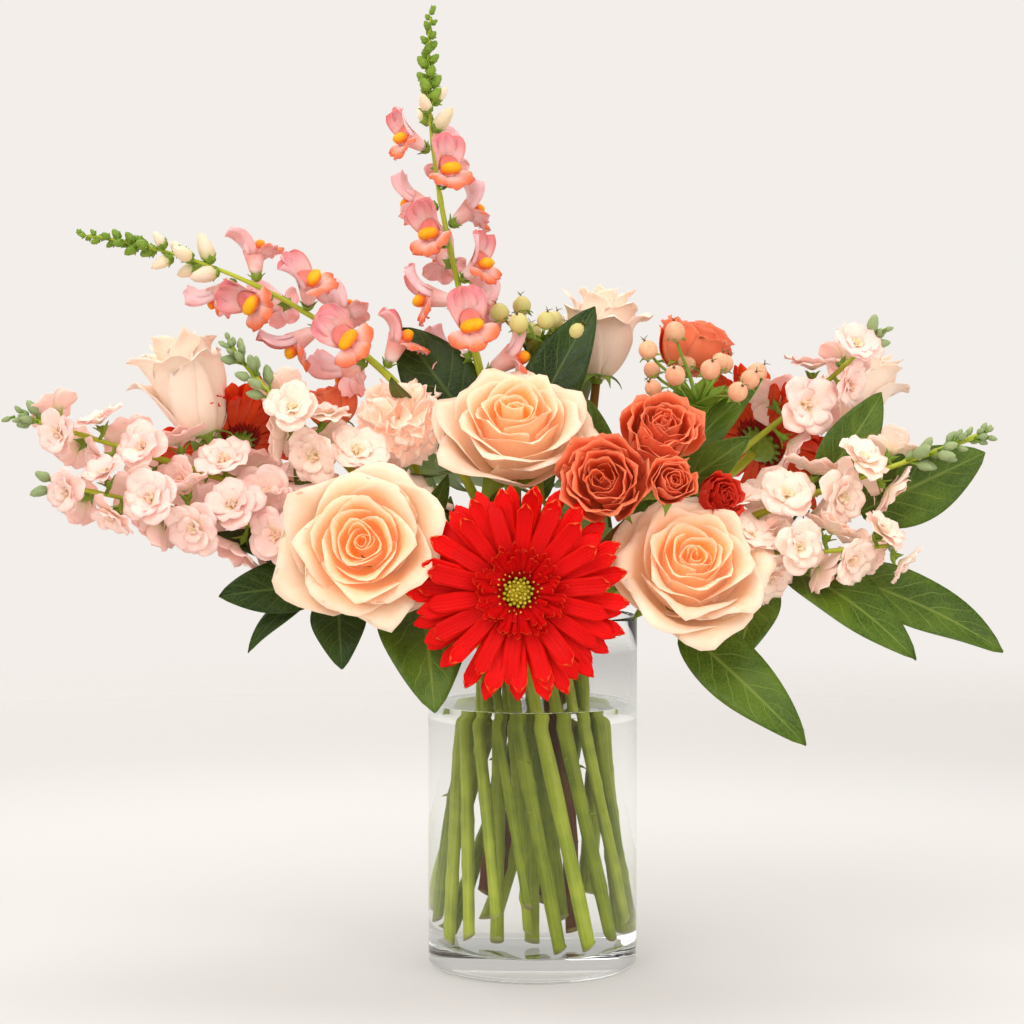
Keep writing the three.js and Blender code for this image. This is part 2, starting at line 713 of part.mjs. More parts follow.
for (const plant of plants) {
  const path = paths.get(plant.name);
  const end = path.getPointAt(1);
  if (plant.kind === "stock") {
    add(`${plant.name}_flowers`, stockParts(plant, path), matt(colours.stock), end);
  }
  if (plant.kind === "snapdragon") {
    add(`${plant.name}_flowers`, snapdragonParts(plant, path), matt(colours.snapdragon), end);
  }
  if (plant.kind === "berries") {
    const cluster = berryParts(plant.size ?? 1, placement(end, vector(plant.facing)));
    add(`${plant.name}_berries`, cluster, matt(colours.berry), end);
  }
}

export default bouquet;
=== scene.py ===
import heapq
import math

import bpy
import numpy as np
from mathutils import Matrix, Vector


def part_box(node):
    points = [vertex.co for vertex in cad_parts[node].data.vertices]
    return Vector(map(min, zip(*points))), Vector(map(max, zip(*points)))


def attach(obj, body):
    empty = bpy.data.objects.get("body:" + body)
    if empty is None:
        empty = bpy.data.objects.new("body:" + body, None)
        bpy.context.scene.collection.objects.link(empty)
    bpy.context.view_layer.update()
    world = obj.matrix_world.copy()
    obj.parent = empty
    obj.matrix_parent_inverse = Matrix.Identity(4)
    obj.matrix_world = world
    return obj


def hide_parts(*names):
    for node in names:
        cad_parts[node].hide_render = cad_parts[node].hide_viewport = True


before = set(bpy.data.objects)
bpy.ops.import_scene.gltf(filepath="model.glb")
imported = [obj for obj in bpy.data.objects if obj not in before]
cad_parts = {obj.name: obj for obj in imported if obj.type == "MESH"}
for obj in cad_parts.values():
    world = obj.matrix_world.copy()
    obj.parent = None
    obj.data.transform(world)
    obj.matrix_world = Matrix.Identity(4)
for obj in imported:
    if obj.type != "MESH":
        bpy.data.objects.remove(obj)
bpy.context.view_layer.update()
mm = 0.001
golden = math.pi * (3 - math.sqrt(5))
ringSides = 5  # corners in each ring of a stem's frame
turn = 2 * math.pi
dice = np.random.default_rng(11)
print("frame loaded:", len(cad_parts), "nodes")


def unit(vector):
    vector = np.asarray(vector, float)
    return vector / np.linalg.norm(vector)


def smooth(low, high, value):
    share = np.clip((value - low) / (high - low), 0, 1)
    return share * share * (3 - 2 * share)


def between(low, high):
    return dice.uniform(low, high)


def towards(direction, roll=0.0):
    # columns are the x, y and z of a bloom that looks along direction
    lean = Vector((0, 0, 1)).rotation_difference(Vector(unit(direction))).to_matrix()
    return np.array(lean @ Matrix.Rotation(roll, 3, "Z"))


def bezier(corners, share):
    share = np.asarray(share, float)[..., None]
    first, second, third, last = (np.asarray(c, float) for c in corners)
    rest = 1 - share
    return (first * rest ** 3 + 3 * second * rest ** 2 * share
            + 3 * third * rest * share ** 2 + last * share ** 3)


class Shape:
    # gathers closed parts; place is (across, along, side), kind is (tone, layer, own use)
    def __init__(self):
        self.points, self.quads, self.triangles = [], [], []
        self.place, self.kind = [], []
        self.size = 0

    def add(self, points, quads, place, kind, triangles=None):
        points = np.asarray(points, float).reshape(-1, 3)
        self.points.append(points)
        self.quads.append(np.asarray(quads).reshape(-1, 4) + self.size)
        if triangles is not None and len(triangles):
            self.triangles.append(np.asarray(triangles).reshape(-1, 3) + self.size)
        self.place.append(np.broadcast_to(place, points.shape))
        self.kind.append(np.broadcast_to(kind, points.shape))
        self.size += len(points)

    def build(self, name, material, slot, replaces=()):
        mesh = bpy.data.meshes.new(name)
        faces = np.concatenate(self.quads).tolist()
        if self.triangles:
            faces += np.concatenate(self.triangles).tolist()
        mesh.from_pydata(np.concatenate(self.points).tolist(), [], faces)
        for label, rows in (("place", self.place), ("kind", self.kind)):
            values = mesh.attributes.new(label, "FLOAT_VECTOR", "POINT")
            values.data.foreach_set("vector", np.concatenate(rows).astype(np.float32).ravel())
        mesh.shade_smooth()
        mesh.materials.append(material)
        piece = bpy.data.objects.new(name, mesh)
        bpy.context.scene.collection.objects.link(piece)
        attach(piece, "root")
        if replaces:
            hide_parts(*replaces)
        return piece


sheetFaces = {}  # faces of a closed sheet, by its rows and columns


def facesOfSheet(rows, columns):
    if (rows, columns) not in sheetFaces:
        index = np.arange(rows * columns).reshape(rows, columns)
        top = np.stack([index[:-1, :-1], index[1:, :-1], index[1:, 1:], index[:-1, 1:]], -1)
        top = top.reshape(-1, 4)
        rim = np.concatenate([index[0], index[1:, -1], index[-1, -2::-1], index[-2:0:-1, 0]])
        onward, below = np.roll(rim, -1), rows * columns
        sides = np.stack([rim, onward, onward + below, rim + below], -1)
        sheetFaces[rows, columns] = np.concatenate([top, top[:, ::-1] + below, sides])
    return sheetFaces[rows, columns]


def addSheet(shape, sheet, thick, tone, layer, own=0.0):
    # a thin closed skin round a grid of points, thinner at its edges
    rows, columns = sheet.shape[:2]
    normal = np.cross(np.gradient(sheet, axis=0), np.gradient(sheet, axis=1))
    normal /= np.maximum(np.linalg.norm(normal, axis=2, keepdims=True), 1e-12)
    across = np.broadcast_to(np.linspace(-1, 1, columns)[None, :], (rows, columns))
    along = np.broadcast_to(np.linspace(0, 1, rows)[:, None], (rows, columns))
    half = thick / 2 * (1 - 0.6 * smooth(0.8, 1, np.maximum(np.abs(across), along)))
    points = np.concatenate([(sheet + normal * half[..., None]).reshape(-1, 3),
                             (sheet - normal * half[..., None]).reshape(-1, 3)])
    place = np.stack([np.tile(across.ravel(), 2), np.tile(along.ravel(), 2),
                      np.repeat([1.0, 0.0], rows * columns)], -1)
    shape.add(points, facesOfSheet(rows, columns), place, (tone, layer, own))


def addLoft(shape, rings, tone, layer, own=0.0):
    # a closed skin over rings of equally many points, with a flat fan at both ends
    rings = np.asarray(rings, float)
    count, sides = rings.shape[:2]
    index = np.arange(count * sides).reshape(count, sides)
    onward = np.roll(index, -1, axis=1)
    quads = np.stack([index[:-1], onward[:-1], onward[1:], index[1:]], -1).reshape(-1, 4)
    first, last = count * sides, count * sides + 1
    ends = np.concatenate([
        np.stack([onward[0], index[0], np.full(sides, first)], -1),
        np.stack([index[-1], onward[-1], np.full(sides, last)], -1)])
    points = np.concatenate([rings.reshape(-1, 3), rings[0].mean(0)[None], rings[-1].mean(0)[None]])
    across = np.tile(np.linspace(-1, 1, sides, endpoint=False), count)
    along = np.repeat(np.linspace(0, 1, count), sides)
    place = np.stack([np.append(across, [0, 0]), np.append(along, [0, 1]), np.ones(len(points))], -1)
    own = np.broadcast_to(own, count)
    own = np.append(np.repeat(own, sides), [own[0], own[-1]])
    kind = np.stack([np.full(len(points), tone), np.full(len(points), layer), own], -1)
    shape.add(points, quads, place, kind, ends)


def turnedRings(profile, sides, squash=1.0):
    # rings of a shape turned about +Z from (radius, height) points
    angle = np.linspace(0, turn, sides, endpoint=False)
    profile = np.asarray(profile, float)
    x = profile[:, :1] * np.cos(angle)
    y = profile[:, :1] * np.sin(angle) * squash
    z = np.broadcast_to(profile[:, 1:], x.shape)
    return np.stack([x, y, z], -1)


def moved(points, lean, at):
    return points @ lean.T + np.asarray(at)


def lengthAlong(points):
    steps = np.linalg.norm(np.diff(points, axis=0), axis=1)
    return np.concatenate([[0], np.cumsum(steps)])


def sweep(points, radii, sides):
    # rings round a line, turned no more than the line turns
    tangent = np.gradient(points, axis=0)
    tangent /= np.linalg.norm(tangent, axis=1, keepdims=True)
    side = unit(np.cross(tangent[0], (0.3, 0.9, 0.2)))
    angle = np.linspace(0, turn, sides, endpoint=False)[:, None]
    rings = []
    for point, way, radius in zip(points, tangent, radii):
        side = unit(side - way * side.dot(way))
        other = np.cross(way, side)
        around = np.cos(angle) * side + np.sin(angle) * other
        rings.append(point + around * np.asarray(radius)[..., None])
    return np.array(rings)


def welded(name):
    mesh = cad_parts[name].data
    raw = np.empty(len(mesh.vertices) * 3)
    mesh.vertices.foreach_get("co", raw)
    points, back = np.unique(raw.reshape(-1, 3).round(6), axis=0, return_inverse=True)
    back = back.ravel()
    edges = {(min(back[a], back[b]), max(back[a], back[b])) for a, b in (e.vertices for e in mesh.edges)}
    return points, [edge for edge in edges if edge[0] != edge[1]]


def distances(points, edges, starts):
    near = [[] for _ in points]
    for a, b in edges:
        length = np.linalg.norm(points[a] - points[b])
        near[a].append((b, length))
        near[b].append((a, length))
    best = np.full(len(points), np.inf)
    best[starts] = 0
    queue = [(0.0, int(s)) for s in starts]
    while queue:
        reached, here = heapq.heappop(queue)
        if reached > best[here]:
            continue
        for other, length in near[here]:
            if reached + length < best[other]:
                best[other] = reached + length
                heapq.heappush(queue, (best[other], other))
    return best


def stemRings(name):
    # middle of each ring of the stem's frame, from its cut end up, its radius and the way it ends
    points, edges = welded(name)
    lowest = points[points[:, 2].argmin()]
    starts = np.flatnonzero(np.linalg.norm(points - lowest, axis=1) < 9 * mm)
    reach = distances(points, edges, starts)
    order = np.argsort(reach)
    groups = np.split(order, np.flatnonzero(np.diff(reach[order]) > 8 * mm) + 1)
    groups[0] = groups[0][np.argsort(points[groups[0], 2])[:ringSides]]
    rings = [points[group] for group in groups if len(group) == ringSides]
    middles = np.array([ring.mean(0) for ring in rings])
    radius = np.median([np.linalg.norm(ring - ring.mean(0), axis=1).mean() for ring in rings])
    facing = np.linalg.svd(rings[-1] - middles[-1])[2][2]
    return middles, radius, facing * np.sign(facing.dot(middles[-1] - middles[-2]))


def smoothLine(middles, facing, step):
    # a smooth line through the rings: straight up to the neck, then bending to its bloom
    at = lengthAlong(middles)
    slope = np.gradient(middles, at, axis=0)
    slope[0] = slope[1] = unit(middles[1] - middles[0])
    slope[-1] = facing
    line = [middles[:1]]
    for i, span in enumerate(np.diff(at)):
        share = np.linspace(0, 1, max(3, round(span / step)) + 1)[1:, None]
        back = 1 - share
        line.append((1 + 2 * share) * back ** 2 * middles[i] + share * back ** 2 * span * slope[i]
                    + share ** 2 * (3 - 2 * share) * middles[i + 1]
                    - share ** 2 * back * span * slope[i + 1])
    return np.concatenate(line)


stems = {}
for nodeName in sorted(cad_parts):
    if nodeName.endswith("_stem"):
        middles, radius, facing = stemRings(nodeName)
        line = smoothLine(middles, facing, 5 * mm)
        stems[nodeName.removesuffix("_stem")] = {"line": line, "radius": radius, "facing": facing}


def nearest(line, point):
    return np.linalg.norm(line - point, axis=1).argmin()


def pointAt(line, distance):
    at = lengthAlong(line)
    behind, spot, ahead = (np.array([np.interp(distance + step, at, line[:, i]) for i in range(3)])
                           for step in (-2 * mm, 0, 2 * mm))
    return spot, unit(ahead - behind)


def bloomSeat(plant, node):
    # where the bloom sits, the way it looks, how wide and how tall it is
    stem = stems[plant]
    seat, facing = stem["line"][-1], stem["facing"]
    rest = welded(node)[0] - seat
    height = rest @ facing
    out = np.linalg.norm(rest - height[:, None] * facing, axis=1)
    return seat, facing, out.max(), height.max()


def leafPlans(node, carrier):
    # each leaf's stalk end, tip, width, arch and face, from the closed solids of one whorl
    points = welded(node)[0]
    line, radius = stems[carrier]["line"], stems[carrier]["radius"]
    gap = np.array([np.linalg.norm(line - point, axis=1).min() for point in points])
    hub = line[nearest(line, points[gap < radius + 4.5 * mm].mean(0))]
    reach = np.linalg.norm(points - hub, axis=1)
    plans, used = [], np.zeros(len(points), bool)
    for i in np.argsort(-reach):
        end = np.flatnonzero(np.linalg.norm(points - points[i], axis=1) < 2.8 * mm)
        if used[i] or len(end) != 4 or reach[i] < 25 * mm:
            continue
        tip = points[end].mean(0)
        sides = np.linalg.svd(points[end] - tip)[2]  # long side, short side and the way the leaf runs
        way = sides[2] * np.sign(sides[2] @ (tip - hub))
        across = sides[0]
        face = np.cross(way, across)
        if np.linalg.norm(tip - hub - way * (way @ (tip - hub))) > 0.3 * reach[i]:
            continue
        rest = points - tip
        back, out, lift = -(rest @ way), rest @ across, rest @ face
        rings = []
        for j in np.flatnonzero((back > 8 * mm) & (out > 0.9 * mm)):
            twin = np.flatnonzero((np.abs(back - back[j]) < 0.03 * mm)
                                  & (np.abs(out + out[j]) < 0.05 * mm)
                                  & (np.abs(lift - lift[j]) < 0.05 * mm))
            if len(twin):
                rings.append((back[j], out[j], lift[j], j, twin[0]))
        if not rings:
            continue
        used[end] = True
        for ring in rings:
            used[list(ring[3:])] = True
        length = way @ (tip - hub)
        blade = min(ring[0] for ring in rings) / 0.24  # the last ring stands a quarter of the blade back
        share = np.array([1 - ring[0] / length for ring in rings])
        lifts = np.array([ring[2] for ring in rings])
        bow = 4 * share * (1 - share)
        arch = (lifts @ bow) / (bow @ bow)
        if arch < 0:
            face, across, arch = -face, -across, -arch
        plans.append({"hub": tip - way * length, "tip": tip, "way": way, "across": across, "face": face,
                      "width": 2 * max(ring[1] for ring in rings) / 0.911, "arch": arch,
                      "bare": min(max(1 - blade / length, 0.03), 0.6)})
    return plans


def makeCamera():
    view = {"at": (-0.0111, -1.370, 0.298), "down": 2.2, "lens": 89.0}
    lens = bpy.data.cameras.new("camera")
    lens.lens, lens.sensor_width = view["lens"], 36
    camera = bpy.data.objects.new("camera", lens)
    camera.location = view["at"]
    camera.rotation_euler = (math.radians(90 - view["down"]), 0, 0)
    bpy.context.scene.collection.objects.link(camera)
    bpy.context.scene.camera = camera


backdropColour = (0.896, 0.855, 0.815)


def makeFloor():
    # a pale disc that fades into the backdrop, so that no horizon shows
    floor = {"radius": 3.2, "fadeFrom": 0.5, "fadeTo": 1.9, "colour": (0.627, 0.608, 0.588)}
    shape = Shape()
    rings = turnedRings([(floor["radius"], -0.004), (floor["radius"], 0)], 96)
    addLoft(shape, rings, 0, 0)
    mesh = bpy.data.meshes.new("floor")
    mesh.from_pydata(np.concatenate(shape.points).tolist(), [],
                     np.concatenate(shape.quads).tolist() + np.concatenate(shape.triangles).tolist())
    disc = bpy.data.objects.new("floor", mesh)
    bpy.context.scene.collection.objects.link(disc)
    disc.location.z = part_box("vase")[0].z - 0.0002
    paint = Paint("floorPaint")
    body = paint.node("ShaderNodeBsdfDiffuse")
    body.inputs["Color"].default_value = (*floor["colour"], 1)
    clear = paint.node("ShaderNodeBsdfTransparent")
    mixer = paint.node("ShaderNodeMixShader")
    spot = paint.node("ShaderNodeTexCoord").outputs["Object"]
    distance = paint.node("ShaderNodeVectorMath", operation="LENGTH")
    paint.link(spot, distance.inputs[0])
    paint.link(paint.ramp(distance.outputs["Value"], floor["fadeFrom"], floor["fadeTo"]), mixer.inputs[0])
    paint.link(body.outputs[0], mixer.inputs[1])
    paint.link(clear.outputs[0], mixer.inputs[2])
    paint.link(mixer.outputs[0], paint.output.inputs["Surface"])
    disc.data.materials.append(paint.material)


def makeLight():
    lamps = {
        "key": {"at": (-1.0, -1.7, 1.9), "size": 1.7, "power": 27},
        "fill": {"at": (1.5, -1.2, 0.9), "size": 1.4, "power": 10},
        "top": {"at": (0.1, 0.5, 2.2), "size": 1.2, "power": 12},
        "back": {"at": (-0.9, 1.7, 1.2), "size": 1.2, "power": 9},
    }
    daylight, middle = (1.0, 0.98, 0.955), Vector((0, 0, 0.25))
    # what the glass mirrors, from a dark studio in front to a bright backdrop behind
    mirror = {"From Min": -0.7, "From Max": 0.8, "To Min": 0.14, "To Max": 0.62}
    for name, lamp in lamps.items():
        light = bpy.data.lights.new(name, "AREA")
        light.size, light.energy = lamp["size"], lamp["power"]
        holder = bpy.data.objects.new(name, light)
        holder.location = lamp["at"]
        holder.rotation_euler = (middle - Vector(lamp["at"])).to_track_quat("-Z", "Y").to_euler()
        bpy.context.scene.collection.objects.link(holder)
    world = bpy.data.worlds.new("studio")
    bpy.context.scene.world = world
    world.use_nodes = True
    nodes, links = world.node_tree.nodes, world.node_tree.links
    nodes.clear()
    seen, lit, mirrored = (nodes.new("ShaderNodeBackground") for _ in range(3))
    seen.inputs["Color"].default_value = (*backdropColour, 1)
    lit.inputs["Color"].default_value = (*daylight, 1)
    mirrored.inputs["Color"].default_value = (*backdropColour, 1)
    way, split, span = (nodes.new(f"ShaderNode{kind}")
                        for kind in ("TexCoord", "SeparateXYZ", "MapRange"))
    links.new(way.outputs["Generated"], split.inputs[0])
    links.new(split.outputs["Y"], span.inputs["Value"])
    for name, value in mirror.items():
        span.inputs[name].default_value = value
    links.new(span.outputs[0], mirrored.inputs["Strength"])
    rays = nodes.new("ShaderNodeLightPath")
    first, second = nodes.new("ShaderNodeMixShader"), nodes.new("ShaderNodeMixShader")
    links.new(rays.outputs["Is Glossy Ray"], first.inputs[0])
    links.new(seen.outputs[0], first.inputs[1])
    links.new(mirrored.outputs[0], first.inputs[2])
    links.new(rays.outputs["Is Diffuse Ray"], second.inputs[0])
    links.new(first.outputs[0], second.inputs[1])
    links.new(lit.outputs[0], second.inputs[2])
    links.new(second.outputs[0], nodes.new("ShaderNodeOutputWorld").inputs["Surface"])
    bpy.context.scene.view_settings.view_transform = "Standard"


class Paint:
    # a material or a node group, with short ways to add and link its nodes
    def __init__(self, name, group=False):
        if group:
            self.tree = bpy.data.node_groups.new(name, "ShaderNodeTree")
            self.start = self.node("NodeGroupInput")
            self.output = self.node("NodeGroupOutput")
        else:
            self.material = bpy.data.materials.new(name)
            self.material.use_nodes = True
            self.tree = self.material.node_tree
            self.tree.nodes.clear()
            self.output = self.node("ShaderNodeOutputMaterial")

    def node(self, kind, **settings):
        made = self.tree.nodes.new(kind)
        for name, value in settings.items():
            setattr(made, name, value)
        return made

    def link(self, source, target):
        self.tree.links.new(source, target)

    def socket(self, name, kind, output=False, value=None):
        way = "OUTPUT" if output else "INPUT"
        made = self.tree.interface.new_socket(name=name, in_out=way, socket_type=f"NodeSocket{kind}")
        if value is not None:
            made.default_value = value

    def feed(self, target, value):
        if isinstance(value, bpy.types.NodeSocket):
            self.link(value, target)
        elif isinstance(value, tuple) and len(value) == 3 and target.type == "RGBA":
            target.default_value = (*value, 1)
        else:
            target.default_value = value

    def math(self, operation, first, second=0.0, clamp=False):
        made = self.node("ShaderNodeMath", operation=operation, use_clamp=clamp)
        self.feed(made.inputs[0], first)
        self.feed(made.inputs[1], second)
        return made.outputs[0]

    def ramp(self, value, low, high, toLow=0.0, toHigh=1.0):
        made = self.node("ShaderNodeMapRange", interpolation_type="SMOOTHSTEP")
        for socket, given in zip(made.inputs[:5], (value, low, high, toLow, toHigh)):
            self.feed(socket, given)
        return made.outputs[0]

    def mix(self, factor, first, second, blend="MIX"):
        made = self.node("ShaderNodeMix", data_type="RGBA", blend_type=blend)
        self.feed(made.inputs[0], factor)
        self.feed(made.inputs[6], first)
        self.feed(made.inputs[7], second)
        return made.outputs[2]

    def noise(self, scale, detail=2.0, vector=None, distortion=0.0):
        made = self.node("ShaderNodeTexNoise")
        self.feed(made.inputs["Scale"], scale)
        made.inputs["Detail"].default_value = detail
        made.inputs["Distortion"].default_value = distortion
        if vector is not None:
            self.link(vector, made.inputs["Vector"])
        return made.outputs["Fac"]

    def values(self, name):
        # the three numbers that the mesh stores in one of its attributes
        read = self.node("ShaderNodeAttribute", attribute_name=name)
        split = self.node("ShaderNodeSeparateXYZ")
        self.link(read.outputs["Vector"], split.inputs[0])
        return split.outputs[0], split.outputs[1], split.outputs[2]

    def use(self, group, **inputs):
        made = self.node("ShaderNodeGroup")
        made.node_tree = group
        for name, value in inputs.items():
            self.feed(made.inputs[name], value)
        return made

    def spot(self):
        return self.node("ShaderNodeTexCoord").outputs["Object"]

    def combine(self, x, y, z):
        made = self.node("ShaderNodeCombineXYZ")
        for socket, value in zip(made.inputs, (x, y, z)):
            self.feed(socket, value)
        return made.outputs[0]


def makeMottle():
    # soft blotches and a shift of tone from piece to piece
    paint = Paint("mottle", group=True)
    for name, kind, value in (("Colour", "Color", (1, 1, 1, 1)), ("Other", "Color", (0.8, 0.8, 0.8, 1)),
                              ("Tone", "Float", 0.5), ("Scale", "Float", 60.0), ("Amount", "Float", 0.5)):
        paint.socket(name, kind, value=value)
    paint.socket("Colour", "Color", output=True)
    given = paint.start.outputs
    cloud = paint.ramp(paint.noise(given["Scale"], 3, paint.spot(), 0.4), 0.35, 0.7)
    mixed = paint.mix(paint.math("MULTIPLY", cloud, given["Amount"]), given["Colour"], given["Other"])
    lightness = paint.math("MULTIPLY_ADD", given["Tone"], 0.14)
    lightness.node.inputs[2].default_value = 0.92
    shade = paint.combine(lightness, lightness, lightness)
    paint.link(paint.mix(1.0, mixed, shade, "MULTIPLY"), paint.output.inputs["Colour"])
    return paint.tree


def makeVeins():
    # fine lines that run up a petal and fan out with it
    paint = Paint("petalVeins", group=True)
    for name, value in (("Across", 0.0), ("Along", 0.0), ("Lines", 9.0), ("Wander", 0.25)):
        paint.socket(name, "Float", value=value)
    paint.socket("Height", "Float", output=True)
    given = paint.start.outputs
    wander = paint.noise(90, 2, paint.spot())
    shifted = paint.math("MULTIPLY_ADD", wander, given["Wander"])
    paint.link(given["Across"], shifted.node.inputs[2])
    cycles = paint.math("MULTIPLY", shifted, given["Lines"])
    wave = paint.math("SINE", paint.math("MULTIPLY", cycles, turn))
    fine = paint.noise(900, 2, paint.spot())
    lines = paint.math("MULTIPLY_ADD", wave, 0.35)
    paint.link(fine, lines.node.inputs[2])
    paint.link(lines, paint.output.inputs["Height"])
    return paint.tree


def makeLeafVeins():
    # a midrib and slanting side veins, as a mask and as a height
    paint = Paint("leafVeins", group=True)
    for name, value in (("Across", 0.0), ("Along", 0.0), ("Pairs", 7.0), ("Slant", 0.9)):
        paint.socket(name, "Float", value=value)
    paint.socket("Mask", "Float", output=True)
    paint.socket("Height", "Float", output=True)
    given = paint.start.outputs
    out = paint.math("ABSOLUTE", given["Across"])
    wander = paint.math("MULTIPLY", paint.noise(70, 2, paint.spot()), 0.12)
    slanted = paint.math("SUBTRACT", paint.math("ADD", given["Along"], wander),
                         paint.math("MULTIPLY", paint.math("MULTIPLY", out, given["Slant"]), 0.3))
    cycle = paint.math("PINGPONG", paint.math("MULTIPLY", slanted, given["Pairs"]), 0.5)
    side = paint.ramp(cycle, 0.0, 0.075, 1.0, 0.0)
    fading = paint.math("MULTIPLY", side, paint.ramp(out, 0.5, 1.0, 1.0, 0.25))
    midrib = paint.ramp(out, 0.02, 0.085, 1.0, 0.0)
    net = paint.node("ShaderNodeTexVoronoi", feature="DISTANCE_TO_EDGE")
    net.inputs["Scale"].default_value = 420
    paint.link(paint.spot(), net.inputs["Vector"])
    fine = paint.ramp(net.outputs["Distance"], 0.0, 0.12, 0.35, 0.0)
    mask = paint.math("MAXIMUM", paint.math("MAXIMUM", midrib, fading), fine)
    paint.link(mask, paint.output.inputs["Mask"])
    blister = paint.math("MULTIPLY", paint.math("SINE", paint.math("MULTIPLY", cycle, math.pi)), 0.5)
    paint.link(paint.math("SUBTRACT", blister, paint.math("MULTIPLY", mask, 0.8)),
               paint.output.inputs["Height"])
    return paint.tree


def makeFibres():
    # long streaks along a stem, with small marks across it
    paint = Paint("fibres", group=True)
    for name, value in (("Across", 0.0), ("Along", 0.0), ("Streaks", 5.0)):
        paint.socket(name, "Float", value=value)
    paint.socket("Mask", "Float", output=True)
    paint.socket("Height", "Float", output=True)
    given = paint.start.outputs
    angle = paint.math("MULTIPLY", given["Across"], math.pi)
    ring = paint.combine(paint.math("MULTIPLY", paint.math("COSINE", angle), given["Streaks"]),
                         paint.math("MULTIPLY", paint.math("SINE", angle), given["Streaks"]),
                         paint.math("MULTIPLY", given["Along"], 6.0))
    streaks = paint.noise(1.0, 4, ring)
    specks = paint.ramp(paint.noise(260, 2, paint.spot()), 0.62, 0.72)
    paint.link(paint.math("MAXIMUM", paint.ramp(streaks, 0.35, 0.7), paint.math("MULTIPLY", specks, 0.5)),
               paint.output.inputs["Mask"])
    paint.link(paint.math("ADD", streaks, paint.math("MULTIPLY", specks, 0.2)),
               paint.output.inputs["Height"])
    return paint.tree


mottle, veins, leafVeins, fibres = makeMottle(), makeVeins(), makeLeafVeins(), makeFibres()


def srgb(red, green, blue):
    return tuple(((c / 255 + 0.055) / 1.055) ** 2.4 if c > 10 else c / 3294.6 for c in (red, green, blue))


def addBump(paint, shader, height, strength, distance):
    bump = paint.node("ShaderNodeBump")
    bump.inputs["Strength"].default_value = strength
    bump.inputs["Distance"].default_value = distance
    paint.link(height, bump.inputs["Height"])
    paint.link(bump.outputs[0], shader.inputs["Normal"])


def living(paint, rough, glow, specular, colour, through):
    # plant tissue: light soaks in a little way, and some comes out on the other side
    shader = paint.node("ShaderNodeBsdfPrincipled")
    shader.inputs["Roughness"].default_value = rough
    shader.inputs["Specular IOR Level"].default_value = specular
    shader.inputs["Subsurface Weight"].default_value = glow
    shader.inputs["Subsurface Radius"].default_value = (1.0, 0.85, 0.7)
    shader.inputs["Subsurface Scale"].default_value = 0.3 * mm
    paint.link(colour, shader.inputs["Base Color"])
    backlit, mixer = paint.node("ShaderNodeBsdfTranslucent"), paint.node("ShaderNodeMixShader")
    paint.link(colour, backlit.inputs["Color"])
    mixer.inputs[0].default_value = through
    paint.link(shader.outputs[0], mixer.inputs[1])
    paint.link(backlit.outputs[0], mixer.inputs[2])
    paint.link(mixer.outputs[0], paint.output.inputs["Surface"])
    return shader


petalDefaults = {
    "rough": 0.55, "glow": 0.4, "specular": 0.2, "through": 0.08,
    "spread": (0.0, 1.0),  # layers over which the inner colour turns into the outer one
    "footTo": 0.5, "footAmount": 0.7, "rimFrom": 0.2, "rimAmount": 0.5, "underAmount": 0.5,
    "blotchAmount": 0.35, "lines": 8.0, "bump": 0.35,
    "paintedGlow": 0.06, "paintedGlowLayers": (0.1, 1.0),  # painted glow: an emission in the petals' own colour stands in for light that petals pass on, and the layers over which it fades
}


def petalFinish(name, given):
    # inner and outer petals, their foot and rim and the side that is turned away, each with its colour
    look = {**petalDefaults, **given}
    paint = Paint(name)
    across, up, side = paint.values("place")
    tone, layer, _ = paint.values("kind")
    colour = paint.mix(paint.ramp(layer, *look["spread"]), look["inner"], look["outer"])
    foot = paint.ramp(up, 0.0, look["footTo"], 1.0, 0.0)
    colour = paint.mix(paint.math("MULTIPLY", foot, look["footAmount"]), colour, look["foot"])
    rim = paint.math("MAXIMUM", paint.ramp(up, 1 - look["rimFrom"], 1.0),
                     paint.ramp(paint.math("ABSOLUTE", across), 1 - look["rimFrom"], 1.0))
    colour = paint.mix(paint.math("MULTIPLY", rim, look["rimAmount"]), colour, look["rim"])
    under = paint.math("SUBTRACT", 1.0, side)
    colour = paint.mix(paint.math("MULTIPLY", under, look["underAmount"]), colour, look["under"])
    blend = paint.use(mottle, Colour=colour, Other=look["blotch"], Tone=tone, Scale=90.0,
                      Amount=look["blotchAmount"]).outputs["Colour"]
    shader = living(paint, look["rough"], look["glow"], look["specular"], blend, look["through"])
    # painted glow: an emission in the petals' own colour stands in for light that other petals pass on deep
    # inside the bloom
    fade = paint.ramp(layer, *look["paintedGlowLayers"], 0.0, 0.8)
    paint.link(paint.mix(fade, blend, (0, 0, 0)), shader.inputs["Emission Color"])
    shader.inputs["Emission Strength"].default_value = look["paintedGlow"]
    lines = paint.use(veins, Across=across, Along=up, Lines=look["lines"])
    addBump(paint, shader, lines.outputs["Height"], look["bump"], 0.25 * mm)
    return paint.material


